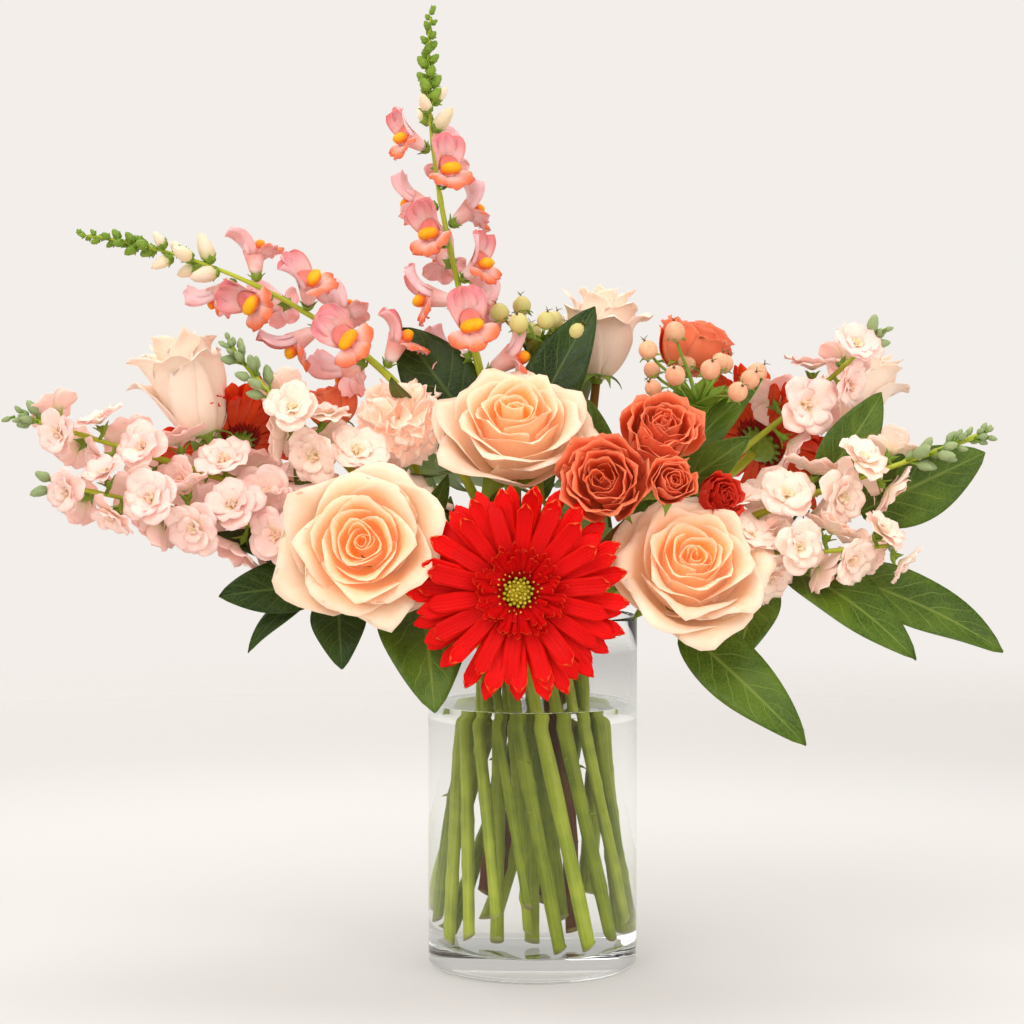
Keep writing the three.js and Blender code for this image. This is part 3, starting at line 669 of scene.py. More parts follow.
petalLooks = {
    # the glow numbers below are painted light: an emission that brightens the petals deep inside each bloom
    "rose": {
        "inner": srgb(255, 170, 72), "outer": srgb(255, 226, 196), "foot": srgb(255, 184, 92),
        "rim": srgb(255, 228, 210), "under": srgb(255, 212, 174), "blotch": srgb(255, 206, 160),
        "spread": (0.05, 0.95), "lines": 7.0, "paintedGlow": 0.2},
    "paleRose": {
        "inner": srgb(255, 214, 176), "outer": srgb(254, 230, 210), "foot": srgb(246, 228, 176),
        "rim": srgb(255, 228, 216), "under": srgb(254, 230, 212), "blotch": srgb(252, 216, 192),
        "lines": 7.0, "paintedGlow": 0.1},
    "sprayRose": {
        "inner": srgb(230, 84, 30), "outer": srgb(248, 124, 78), "foot": srgb(236, 130, 50),
        "rim": srgb(252, 158, 120), "under": srgb(246, 140, 104), "blotch": srgb(234, 96, 50),
        "lines": 6.0, "specular": 0.15},
    "redSprayRose": {
        "inner": srgb(190, 24, 12), "outer": srgb(222, 46, 26), "foot": srgb(196, 50, 26),
        "rim": srgb(230, 78, 52), "under": srgb(214, 60, 40), "blotch": srgb(190, 26, 16),
        "specular": 0.12, "lines": 6.0},
    "carnation": {
        "inner": srgb(255, 212, 184), "outer": srgb(255, 228, 210), "foot": srgb(252, 214, 180),
        "rim": srgb(255, 238, 226), "under": srgb(255, 224, 204), "blotch": srgb(254, 206, 180),
        "lines": 5.0, "bump": 0.25, "paintedGlow": 0.2, "paintedGlowLayers": (2.0, 3.0)},
    "gerbera": {
        "inner": srgb(205, 0, 2), "outer": srgb(240, 8, 4), "foot": srgb(168, 0, 2),
        # the narrow rim colour here is a painted highlight, a lighter orange along the rays' edges and tips
        "rim": srgb(248, 56, 20), "under": srgb(240, 84, 34), "blotch": srgb(214, 0, 2),
        "footTo": 0.4, "footAmount": 0.85, "rimFrom": 0.1, "underAmount": 0.9, "lines": 2.5, "bump": 0.7,
        "rough": 0.5, "specular": 0.12, "glow": 0.25, "paintedGlow": 0.04},
    "stock": {
        "inner": srgb(232, 222, 140), "outer": srgb(249, 224, 206), "foot": srgb(196, 194, 70),
        "rim": srgb(249, 216, 204), "under": srgb(249, 214, 196), "blotch": srgb(246, 202, 184),
        "spread": (0.35, 0.85), "footAmount": 0.9, "lines": 5.0,
        "blotchAmount": 0.5, "paintedGlow": 0.12, "paintedGlowLayers": (2.0, 3.0)},
    "pinkStock": {
        "inner": srgb(234, 214, 140), "outer": srgb(252, 220, 206), "foot": srgb(198, 192, 74),
        "rim": srgb(249, 204, 198), "under": srgb(250, 212, 198), "blotch": srgb(247, 192, 184),
        "spread": (0.35, 0.85), "footAmount": 0.9, "lines": 5.0,
        "blotchAmount": 0.5, "paintedGlow": 0.1, "paintedGlowLayers": (2.0, 3.0)},
    "snapdragon": {
        "inner": srgb(238, 116, 54), "outer": srgb(232, 148, 156), "foot": srgb(254, 230, 222),
        "rim": srgb(228, 116, 112), "under": srgb(250, 210, 212), "blotch": srgb(228, 118, 96),
        "spread": (0.15, 0.6), "footTo": 0.9, "footAmount": 1.0, "underAmount": 0.8,
        "lines": 5.0, "blotchAmount": 0.4},
    "throat": {
        "inner": srgb(251, 186, 14), "outer": srgb(251, 192, 24), "foot": srgb(238, 104, 44),
        "rim": srgb(251, 186, 30), "under": srgb(250, 180, 40), "blotch": srgb(240, 122, 30),
        "footTo": 0.8, "footAmount": 1.0, "blotchAmount": 0.5},
    "snapBud": {
        "inner": srgb(214, 222, 140), "outer": srgb(246, 222, 196), "foot": srgb(170, 196, 90),
        "rim": srgb(244, 196, 188), "under": srgb(232, 226, 170), "blotch": srgb(226, 214, 150),
        "glow": 0.5},
}
finishes = {name: petalFinish(f"{name}Finish", look) for name, look in petalLooks.items()}


def leafFinish(name, look):
    paint = Paint(name)
    across, up, side = paint.values("place")
    tone, _, _ = paint.values("kind")
    blade = paint.use(mottle, Colour=look["colour"], Other=look["other"], Tone=tone, Scale=45.0, Amount=0.7)
    ribs = paint.use(leafVeins, Across=across, Along=up)
    veined = paint.mix(paint.math("MULTIPLY", ribs.outputs["Mask"], 0.55), blade.outputs["Colour"],
                       look["vein"])
    under = paint.math("MULTIPLY", paint.math("SUBTRACT", 1.0, side), 0.75)
    colour = paint.mix(under, veined, look["under"])
    shader = living(paint, look.get("rough", 0.42), 0.1, 0.35, colour, 0.12)
    addBump(paint, shader, ribs.outputs["Height"], 0.55, 0.5 * mm)
    return paint.material


def skinFinish(name, look):
    # stems, calyxes, buds and berries
    paint = Paint(name)
    across, up, _ = paint.values("place")
    tone, _, cut = paint.values("kind")
    fibre = paint.use(fibres, Across=across, Along=up, Streaks=look.get("streaks", 4.0))
    skin = paint.use(mottle, Colour=look["colour"], Other=look["other"], Tone=tone, Scale=55.0, Amount=0.8)
    colour = paint.mix(paint.math("MULTIPLY", fibre.outputs["Mask"], 0.45), skin.outputs["Colour"],
                       look["streak"])
    colour = paint.mix(paint.ramp(cut, 0.4, 0.9), colour, look["mark"])
    shader = living(paint, look.get("rough", 0.45), 0.1, 0.25, colour, 0.08)
    addBump(paint, shader, fibre.outputs["Height"], 0.4, 0.3 * mm)
    return paint.material


leafColours = {
    "leaf": {
        "colour": srgb(66, 94, 12), "other": srgb(98, 124, 24), "vein": srgb(142, 160, 66),
        "under": srgb(124, 144, 68)},
    "darkLeaf": {
        "colour": srgb(38, 60, 12), "other": srgb(60, 86, 22), "vein": srgb(96, 120, 52),
        "under": srgb(104, 122, 60), "rough": 0.36},
}
skinColours = {
    "stem": {
        "colour": srgb(150, 166, 14), "other": srgb(192, 202, 52), "streak": srgb(214, 220, 108),
        "mark": srgb(196, 196, 110)},
    "deepStem": {
        "colour": srgb(116, 134, 8), "other": srgb(156, 168, 28), "streak": srgb(184, 190, 64),
        "mark": srgb(170, 160, 90)},
    "woodyStem": {
        "colour": srgb(128, 66, 14), "other": srgb(140, 110, 26), "streak": srgb(84, 38, 10),
        "mark": srgb(170, 140, 80), "rough": 0.65, "streaks": 7.0},
    "calyx": {
        "colour": srgb(106, 138, 30), "other": srgb(140, 166, 52), "streak": srgb(160, 182, 84),
        "mark": srgb(190, 200, 120)},
    "berry": {
        "colour": srgb(242, 178, 138), "other": srgb(246, 208, 160), "streak": srgb(236, 150, 118),
        "mark": srgb(120, 90, 50), "rough": 0.28, "streaks": 1.5},
    "greenBerry": {
        "colour": srgb(204, 202, 122), "other": srgb(226, 208, 140), "streak": srgb(222, 190, 124),
        "mark": srgb(120, 100, 50), "rough": 0.28, "streaks": 1.5},
    "stockBud": {
        "colour": srgb(138, 158, 104), "other": srgb(164, 178, 124), "streak": srgb(176, 186, 138),
        "mark": srgb(236, 196, 186), "rough": 0.6},
    "disc": {
        "colour": srgb(150, 14, 14), "other": srgb(176, 26, 16), "streak": srgb(196, 40, 20),
        "mark": srgb(236, 176, 60), "rough": 0.6},
    "eye": {
        "colour": srgb(166, 146, 12), "other": srgb(196, 170, 30), "streak": srgb(186, 176, 40),
        "mark": srgb(214, 196, 70), "rough": 0.6},
}
for makeFinish, looks in ((leafFinish, leafColours), (skinFinish, skinColours)):
    finishes.update({name: makeFinish(f"{name}Finish", look) for name, look in looks.items()})


def clearFinish(name, look):
    # clear to light from lamps, so that what stands inside is lit
    paint = Paint(name)
    shader = paint.node("ShaderNodeBsdfPrincipled")
    shader.inputs["Base Color"].default_value = (*look["tint"], 1)
    shader.inputs["Roughness"].default_value = 0.0
    shader.inputs["IOR"].default_value = look["ior"]
    shader.inputs["Transmission Weight"].default_value = 1.0
    shader.inputs["Specular Tint"].default_value = (*look["mirror"], 1)
    ripple = paint.noise(look["rippleScale"], 2, paint.spot())
    addBump(paint, shader, ripple, look["ripple"], 0.3 * mm)
    clear = paint.node("ShaderNodeBsdfTransparent")
    clear.inputs["Color"].default_value = (*look["shadow"], 1)
    mixer = paint.node("ShaderNodeMixShader")
    rays = paint.node("ShaderNodeLightPath")
    spent = paint.math("GREATER_THAN", rays.outputs["Ray Depth"], look["deepest"])
    paint.link(paint.math("MAXIMUM", rays.outputs["Is Shadow Ray"], spent), mixer.inputs[0])
    paint.link(shader.outputs[0], mixer.inputs[1])
    paint.link(clear.outputs[0], mixer.inputs[2])
    paint.link(mixer.outputs[0], paint.output.inputs["Surface"])
    return paint.material


clearLooks = {
    # a weak mirror keeps the veil off what stands inside; past the deepest bounce nothing turns dark
    "glass": {"tint": (0.985, 0.993, 0.99), "ior": 1.46, "ripple": 0.06, "rippleScale": 14.0,
              "shadow": (0.93, 0.94, 0.94), "mirror": (0.35, 0.35, 0.35), "deepest": 5.5},
    "water": {"tint": (0.99, 0.996, 0.992), "ior": 1.33, "ripple": 0.05, "rippleScale": 30.0,
              "shadow": (0.97, 0.975, 0.97), "mirror": (0.35, 0.35, 0.35), "deepest": 5.5},
}
finishes.update({name: clearFinish(f"{name}Finish", look) for name, look in clearLooks.items()})


def arc(centre, radius, start, end, steps):
    angle = np.radians(np.linspace(start, end, steps + 1))
    return np.stack([centre[0] + radius * np.cos(angle), centre[1] + radius * np.sin(angle)], -1)


def makeVase():
    glass = {"wall": 3.2 * mm, "floor": 12 * mm, "foot": 3.5 * mm, "inner": 5 * mm, "punt": 1.6 * mm,
             "sides": 128}
    low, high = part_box("vase")
    radius, height = (high.x - low.x) / 2, high.z
    inside, lip = radius - glass["wall"], glass["wall"] / 2
    profile = np.concatenate([
        [(0.0001, glass["punt"]), (radius * 0.45, glass["punt"] * 0.8),
         (radius * 0.75, glass["punt"] * 0.2), (radius * 0.84, 0)],
        arc((radius - glass["foot"], glass["foot"]), glass["foot"], -90, 0, 6),
        [(radius, z) for z in np.linspace(0.1, 0.9, 9) * height],
        arc((radius - lip, height - lip), lip, 0, 180, 8),
        [(inside, z) for z in np.linspace(0.9, 0.14, 9) * height],
        arc((inside - glass["inner"], glass["floor"] + glass["inner"]), glass["inner"], 0, -90, 6),
        [(inside * 0.6, glass["floor"] - 0.5 * mm), (0.0001, glass["floor"] - 0.8 * mm)]])
    shape = Shape()
    addLoft(shape, turnedRings(profile, glass["sides"]), 0.5, 0)
    shape.build("vase_glass", finishes["glass"], "glass", ["vase"])
    return {"inside": inside, "floor": glass["floor"], "inner": glass["inner"], "sides": glass["sides"]}


def makeWater(vase):
    water = {"overlap": 0.12 * mm, "meniscus": 1.4 * mm}
    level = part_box("water")[1].z
    radius = vase["inside"] + water["overlap"]
    corner = (radius - vase["inner"], vase["floor"] + vase["inner"])
    bottom = vase["floor"] - 0.8 * mm - water["overlap"]
    profile = np.concatenate([
        [(0.0001, bottom), (vase["inside"] * 0.6, bottom + 0.3 * mm)],
        arc(corner, vase["inner"] + water["overlap"], -90, 0, 6),
        [(radius, z) for z in np.linspace(0.25, 0.95, 5) * level],
        [(radius, level + water["meniscus"]), (radius - 0.5 * mm, level + water["meniscus"] * 0.55),
         (radius - 1.3 * mm, level + water["meniscus"] * 0.2), (radius - 2.6 * mm, level),
         (radius * 0.5, level), (0.0001, level)]])
    shape = Shape()
    addLoft(shape, turnedRings(profile, vase["sides"]), 0.5, 0)
    shape.build("water_body", finishes["water"], "water", ["water"])


stemLooks = {
    # joint is how far apart the joints are, swell how much they stand out, rib how deep the grooves are
    "gerbera": {"finish": "stem", "rib": 0.05, "taper": 0.16},
    "rose": {"finish": "deepStem", "joint": 46 * mm, "swell": 0.16, "thorns": 5, "taper": 0.16},
    "spray": {"finish": "deepStem", "joint": 38 * mm, "swell": 0.16, "thorns": 3, "taper": 0.2},
    "carnation": {"finish": "stem", "joint": 52 * mm, "swell": 0.42, "taper": 0.2},
    "stock": {"finish": "stem", "joint": 24 * mm, "swell": 0.1, "rib": 0.09, "taper": 0.6},
    "snapdragon": {"finish": "stem", "joint": 30 * mm, "swell": 0.1, "rib": 0.05, "taper": 0.72},
    "hypericum": {"finish": "woodyStem", "joint": 30 * mm, "swell": 0.3, "taper": 0.2},
    "greens": {"finish": "deepStem", "joint": 34 * mm, "swell": 0.2, "taper": 0.2},
}
plainStem = {"joint": 0, "swell": 0, "thorns": 0, "rib": 0}
woodyPlants = ("spray_left", "rose_upper", "spray_right")


def makeStem(plant):
    look = {**plainStem, **stemLooks[plant.split("_")[0]]}
    line, radius = stems[plant]["line"], stems[plant]["radius"]
    reach = lengthAlong(line)
    sides = 12
    joints = np.arange(between(0.3, 1) * look["joint"], reach[-1], look["joint"]) if look["joint"] else []
    swell = sum((np.exp(-((reach - at) / (2.4 * mm)) ** 2) for at in joints), np.zeros(len(reach)))
    taper = look["taper"] * smooth(0.35, 1, reach / reach[-1])
    width = radius * (1.0 - taper + look["swell"] * swell)
    wobble = 0.05 * np.sin(reach / (11 * mm) + between(0, turn))
    angle = np.linspace(0, turn, sides, endpoint=False)
    radii = (width * (1 + wobble))[:, None] * (1 + look["rib"] * np.cos(3 * angle + 1))
    rings = sweep(line, radii, sides)
    slant = unit((math.cos(between(0, turn)), math.sin(between(0, turn)), 0))
    rise = (rings[0] - line[0]) @ slant  # a slanting cut at the foot
    rings[0, :, 2] += 0.7 * (rise - rise.min())
    shape = Shape()
    tone = between(0, 1)
    marks = 0.5 * swell if look["swell"] else 0 * swell
    marks[0] = 1  # the pith shows at the cut
    addLoft(shape, rings, tone, 0, marks)
    for _ in range(look["thorns"]):
        spot, way = pointAt(line, between(0.18, 0.5) * reach[-1])
        out = unit(np.cross(way, unit(dice.normal(size=3))))
        base, size = spot + out * radius * 0.8, between(2.2, 3.6) * mm
        thorn = np.array([base, base + out * size * 0.6 - way * size * 0.1,
                          base + out * size * 1.1 - way * size * 0.5])
        addLoft(shape, sweep(thorn, np.array([1.4, 0.6, 0.12]) * mm, 6), tone, 0, 0.3)
    finish = "woodyStem" if plant in woodyPlants else look["finish"]
    shape.build(f"{plant}_stalk", finishes[finish], "stem", [f"{plant}_stem"])


roseStyles = {
    # the rows of four give a size in the middle, at each third and outside, as shares of the bloom's radius
    # (rimHeight: of its height); corner rounds a petal's top, point lifts the middle of its rim
    "open": {"petals": 27, "mesh": (14, 11), "thick": 0.5 * mm, "finish": "rose", "slot": "rose",
             "rimRadius": (0.05, 0.3, 0.58, 0.78), "rimHeight": (1.0, 0.96, 0.8, 0.5),
             "halfWidth": (0.24, 0.42, 0.62, 0.76), "lip": (0.05, 0.14, 0.23, 0.26),
             "curl": (0.2, 1.1, 1.9, 1.9), "belly": (1.05, 0.9, 0.8, 0.72), "wave": 2.4 * mm,
             "ruffle": 1.7, "corner": 0.22, "point": 0.07, "uneven": 0.08, "twist": 0.06},
    "cup": {"petals": 22, "mesh": (14, 11), "thick": 0.5 * mm, "finish": "paleRose", "slot": "pale_rose",
            "rimRadius": (0.08, 0.36, 0.62, 0.84), "rimHeight": (0.96, 0.96, 0.86, 0.64),
            "halfWidth": (0.3, 0.46, 0.6, 0.72), "lip": (0.08, 0.2, 0.33, 0.4),
            "curl": (0.3, 1.2, 1.8, 2.2), "belly": (1.15, 1.0, 0.86, 0.7), "wave": 3.6 * mm,
            "ruffle": 1.9, "corner": 0.34, "point": 0.12, "uneven": 0.09, "twist": 0.07},
    "spray": {"petals": 27, "mesh": (10, 9), "thick": 0.4 * mm, "finish": "sprayRose", "slot": "spray_rose",
              "rimRadius": (0.06, 0.34, 0.66, 0.9), "rimHeight": (0.86, 0.94, 0.9, 0.66),
              "halfWidth": (0.3, 0.48, 0.66, 0.8), "lip": (0.06, 0.13, 0.22, 0.28),
              "curl": (0.3, 1.0, 1.6, 1.9), "belly": (1.2, 1.15, 1.05, 0.95), "wave": 3.6 * mm,
              "ruffle": 2.1, "corner": 0.16, "point": 0.03, "uneven": 0.13, "twist": 0.14},
}
thirds = (0, 1 / 3, 2 / 3, 1)


def rosePetal(style, share, size):
    # share is 0 in the middle of the bloom and 1 outside; size is (radius, height)
    radius, height = size
    rows, columns = style["mesh"]
    part = {name: float(np.interp(share, thirds, style[name]))
            for name in ("rimRadius", "rimHeight", "halfWidth", "lip", "curl", "belly")}
    u = np.linspace(-1, 1, columns)[None, :]
    s = np.linspace(0, 1, rows)[:, None]
    reach = (s * (1 - style["corner"] * np.abs(u) ** 2.4)
             + style["point"] * s ** 3 * np.exp(-(u / 0.22) ** 2))
    rimR = radius * part["rimRadius"] * (1 + between(-1, 1) * style["uneven"])
    rimZ = height * part["rimHeight"] * (1 + between(-1, 1) * style["uneven"] * 0.7)
    lip = radius * part["lip"] * between(0.85, 1.15)
    foot = (0.02 + 0.1 * share) * radius
    belly = rimR * part["belly"]
    corners = [(foot, 0.02 * height), (belly * 0.8, 0.05 * height + 0.08 * rimZ),
               (belly, rimZ * 0.55), (rimR, rimZ)]
    spots = bezier(corners, np.clip(reach / 0.78, 0, 1))
    lean = math.atan2(rimR - belly, rimZ * 0.45)
    over = np.clip((reach - 0.78) / 0.22, 0, None)
    bend = part["curl"] * between(0.8, 1.2) * (0.5 + 0.6 * np.abs(u) ** 1.4) + 1e-3
    outward = spots[..., 0] + lip / bend * (np.cos(lean) - np.cos(lean + bend * over))
    upward = spots[..., 1] + lip / bend * (np.sin(lean + bend * over) - np.sin(lean))
    wave = style["wave"] * (0.25 + 0.75 * share) * radius / (45 * mm)
    first, second = between(0, turn), between(0, turn)
    outward = outward + wave * reach ** 3 * np.sin(style["ruffle"] * math.pi * u + first)
    upward = upward + 0.8 * wave * reach ** 3 * np.sin(1.3 * style["ruffle"] * math.pi * u + second)
    half = radius * part["halfWidth"] * between(0.9, 1.1)
    half = half * (0.3 + 0.7 * np.sin(math.pi / 2 * np.clip(reach / 0.6, 0, 1)))
    curve = np.maximum(outward * (1 + 0.3 * share), 0.02 * radius)
    angle = np.clip(u * half / curve, -1.95, 1.95)
    tucked = outward - curve * (1 - np.cos(angle)) + 0.04 * radius * u * (0.3 + share)
    sheet = np.stack([tucked, curve * np.sin(angle), upward], -1)
    return sheet @ np.array(Matrix.Rotation(between(-1, 1) * style["twist"], 3, "X")).T


def addRose(shape, style, seat, facing, size, roll):
    lean = towards(facing, roll)
    for k in range(style["petals"]):
        share = k / (style["petals"] - 1)
        sheet = rosePetal(style, share, size)
        spin = k * golden + between(-0.12, 0.12)
        turned = sheet @ np.array(Matrix.Rotation(spin, 3, "Z")).T
        addSheet(shape, moved(turned, lean, seat), style["thick"], between(0, 1), share)


def addSepals(shape, seat, facing, radius, length, count, droop, width=0.3):
    # green points under a bloom, curving out and back
    lean = towards(facing, between(0, turn))
    for k in range(count):
        u = np.linspace(-1, 1, 5)[None, :]
        s = np.linspace(0, 1, 8)[:, None]
        bend = droop * between(0.8, 1.2) * s
        out = radius * (0.7 + 0.3 * s) + length * 0.75 * s * np.sin(0.4 + bend)
        rise = length * 0.75 * s * np.cos(0.4 + bend)
        swell = 0.35 + 0.65 * np.sin(math.pi * np.clip(s * 1.2, 0, 1) ** 0.6)
        half = length * width * swell * (1 - s ** 3 * 0.97)
        sheet = np.stack([out + 0 * u, half * u, rise + 0.12 * half * u ** 2], -1)
        sheet = sheet @ np.array(Matrix.Rotation(k * turn / count + between(-0.1, 0.1), 3, "Z")).T
        addSheet(shape, moved(sheet, lean, seat), 0.7 * mm, between(0, 1), 0)


def addCup(shape, seat, facing, profile, sides=14):
    addLoft(shape, moved(turnedRings(profile, sides), towards(facing), seat), between(0, 1), 0)


nodding = {"rose_right": -0.3, "rose_middle": -0.12}  # how far a bloom looks down, or up when below 0


def makeRose(plant, styleName):
    style = roseStyles[styleName]
    seat, facing, radius, height = bloomSeat(plant, f"{plant}_bloom")
    facing = unit(facing - np.array([0, 0, nodding.get(plant, 0)]))
    petals, green = Shape(), Shape()
    addRose(petals, style, seat, facing, (radius, height), between(0, turn))
    addSepals(green, seat, facing, 0.1 * radius, 0.75 * radius, 5, 1.6)
    addCup(green, seat - facing * 3 * mm, facing,
           [(0.05 * radius, 0), (0.14 * radius, 2 * mm), (0.2 * radius, 6 * mm), (0.16 * radius, 9 * mm)])
    petals.build(f"{plant}_petals", finishes[style["finish"]], style["slot"], [f"{plant}_bloom"])
    green.build(f"{plant}_calyx", finishes["calyx"], "leaf")


sprayLook = {
    "scale": 1.08, "stalk": 1.3 * mm,
    "budScale": 1.25, "bud": {"petals": 16, "rimRadius": (0.06, 0.3, 0.5, 0.66),
                              "curl": (0.05, 0.2, 0.5, 1.0), "twist": 0.05},
}


def makeSprayHead(name):
    style = dict(roseStyles["spray"])
    fork, facing = stems["spray_right"]["line"][-1], stems["spray_right"]["facing"]
    points = welded(name)[0]
    look = unit(points.mean(0) - fork)
    for _ in range(3):  # the middle of the bloom's outermost points gives its line from the fork
        reach = (points - fork) @ look
        bloom = points[reach > reach.max() * 0.55]
        look = unit((bloom.min(0) + bloom.max(0)) / 2 - fork)
    reach = (points - fork) @ look
    radius = np.linalg.norm(points - fork - reach[:, None] * look, axis=1).max()
    seat = fork + look * (reach.max() - 1.35 * radius)
    if name.endswith("bud"):
        style.update(sprayLook["bud"])
        radius *= sprayLook["budScale"]
    else:
        radius *= sprayLook["scale"]
    if name.endswith("dark"):
        style["finish"] = "redSprayRose"
    petals, green = Shape(), Shape()
    addRose(petals, style, seat, look, (radius, 1.3 * radius), between(0, turn))
    addSepals(green, seat, look, 0.16 * radius, 0.95 * radius, 5, 1.2)
    addCup(green, seat - look * 2 * mm, look,
           [(0.06 * radius, 0), (0.2 * radius, 1.5 * mm), (0.27 * radius, 4 * mm), (0.2 * radius, 6 * mm)])
    gap = np.linalg.norm(seat - fork)
    corners = [fork, fork + facing * gap * 0.35, seat - look * gap * 0.4, seat]
    stalk = bezier(corners, np.linspace(0, 1, 14))
    addLoft(green, sweep(stalk, np.full(14, sprayLook["stalk"]), 8), between(0, 1), 0)
    petals.build(f"{name}_petals", finishes[style["finish"]], style["slot"], [name])
    green.build(f"{name}_stalk", finishes["calyx"], "stem")


gerberaLook = {
    "rows": ((25, 1.04, 0.02), (23, 0.98, 0.1), (18, 0.88, 0.165)),  # rays, reach and rise of each row
    "half": 0.08, "thick": 0.7 * mm, "rootRadius": 0.14, "rootHeight": 0.2,
    "frill": 84, "frillReach": (0.3, 0.5), "florets": 270, "discRadius": 0.28, "eyeRadius": 0.11,
    "bracts": (16, 14), "centre": 0.22,
}


def gerberaRay(length, half, rise, bend, columns=7, rows=11):
    u = np.linspace(-1, 1, columns)[None, :]
    s = 1 - (1 - np.linspace(0, 1, rows)[:, None]) ** 1.6  # closer rows towards the round tip
    slope = rise + bend * (s - 0.35) ** 2 * np.sign(s - 0.35)
    notch = 1 - 0.012 * np.cos(2.2 * math.pi * u) * smooth(0.85, 1, s) - 0.05 * u ** 2 * smooth(0.6, 1, s)
    out = length * s * np.cos(slope) * notch
    lift = length * s * np.sin(slope)
    tip = np.sqrt(np.clip(1 - (np.clip(s - 0.9, 0, 1) / 0.104) ** 2, 0.03, 1))
    width = half * (0.4 + 0.6 * smooth(0, 0.5, s)) * tip
    groove = 0.35 * mm * np.cos(3 * math.pi * u) * smooth(0.05, 0.3, s) * (1 - smooth(0.75, 0.95, s))
    groove = groove + 0.2 * width * u ** 2
    return np.stack([out, width * u + 0 * s, lift + groove], -1)


def turnedAbout(sheet, angle, out=0.0, rise=0.0):
    return (sheet + (out, 0, rise)) @ np.array(Matrix.Rotation(angle, 3, "Z")).T


def makeGerbera(plant):
    look = gerberaLook
    seat, facing, radius, _ = bloomSeat(plant, f"{plant}_bloom")
    lean = towards(facing, between(0, turn))
    rays, disc, eye, green = Shape(), Shape(), Shape(), Shape()
    root, base = look["rootRadius"] * radius, look["rootHeight"] * radius
    for row, (count, reach, rise) in enumerate(look["rows"]):
        for k in range(count):
            length = (radius * reach - root) * between(0.93, 1.0)
            sheet = gerberaRay(length, look["half"] * radius * between(0.85, 1.1),
                               rise + between(-0.06, 0.07), between(-0.45, 0.4))
            sheet[..., 2] += between(-0.4, 0.4) * mm
            spin = (k + 0.5 * (row % 2) + between(-0.16, 0.16)) * turn / count
            sheet = turnedAbout(sheet, spin, root, base + (0.2 + 1.6 * row) * mm)
            addSheet(rays, moved(sheet, lean, seat), look["thick"], between(0, 1), 1 - 0.25 * row)
    for k in range(look["frill"]):  # short narrow rays round the disc
        length = radius * between(*look["frillReach"]) - root
        sheet = gerberaRay(length, 0.026 * radius, between(0.25, 0.68), 0.2, 3, 6)
        addSheet(rays, moved(turnedAbout(sheet, k * golden, root, base + 4.5 * mm), lean, seat),
                 look["thick"], between(0, 1), 0.1)
    top = look["centre"] * radius + 4 * mm
    addCup(disc, seat, facing, [(0.05 * radius, base), (0.24 * radius, base),
                                (0.25 * radius, top - 5 * mm), (0.12 * radius, top - 3 * mm),
                                (0.01 * radius, top - 2.5 * mm)], 20)
    addCup(eye, seat, facing, [(0.05 * radius, top - 5 * mm), (0.11 * radius, top - 4 * mm),
                               (0.11 * radius, top - 1.5 * mm), (0.07 * radius, top - 0.3 * mm),
                               (0.005 * radius, top)], 12)
    for k in range(look["florets"]):
        share = math.sqrt((k + 0.5) / look["florets"])
        out, spin = share * look["discRadius"] * radius, k * golden
        inner = out < look["eyeRadius"] * radius
        height = (3.2 if inner else 4.6 + 2.6 * share) * mm * between(0.85, 1.15)
        tilt = 0.9 * share
        way = np.array([math.sin(tilt) * math.cos(spin), math.sin(tilt) * math.sin(spin), math.cos(tilt)])
        foot = np.array([out * math.cos(spin), out * math.sin(spin),
                         top - 5 * mm - 2.5 * mm * share ** 2])
        wide = (0.9 if inner else 0.62) * mm
        spine = foot + way * np.array([0, 0.6, 0.85, 1.0])[:, None] * (height + 3 * mm)
        rings = moved(sweep(spine, np.array([0.7, 0.8, 1.25, 0.5]) * wide, 5), lean, seat)
        addLoft(eye if inner else disc, rings, between(0, 1), 0, [0, 0, 0.35, between(0.3, 1.3)])
    cup = [(0.06 * radius, 0), (0.15 * radius, 0.05 * radius), (0.2 * radius, 0.12 * radius),
           (0.21 * radius, 0.17 * radius), (0.18 * radius, 0.19 * radius), (0.08 * radius, 0.19 * radius)]
    addCup(green, seat, facing, cup, 22)
    for row, count in enumerate(look["bracts"]):
        size = (0.26 - 0.07 * row) * radius
        for k in range(count):
            sheet = gerberaRay(size, 0.13 * size, 1.05 - 0.2 * row, -0.9, 3, 6)
            sheet = turnedAbout(sheet, (k + 0.5 * row) * turn / count, (0.13 - 0.02 * row) * radius,
                                (0.06 + 0.01 * row) * radius)
            addSheet(green, moved(sheet, lean, seat), 0.8 * mm, between(0, 1), 0)
    rays.build(f"{plant}_rays", finishes["gerbera"], "gerbera", [f"{plant}_bloom"])
    disc.build(f"{plant}_disc", finishes["disc"], "gerbera")
    eye.build(f"{plant}_eye", finishes["eye"], "gerbera")
    green.build(f"{plant}_bracts", finishes["calyx"], "leaf")


carnationLook = {"petals": 78, "mesh": (8, 13), "thick": 0.4 * mm, "frill": 0.045, "root": 0.5,
                 "start": 0.25}


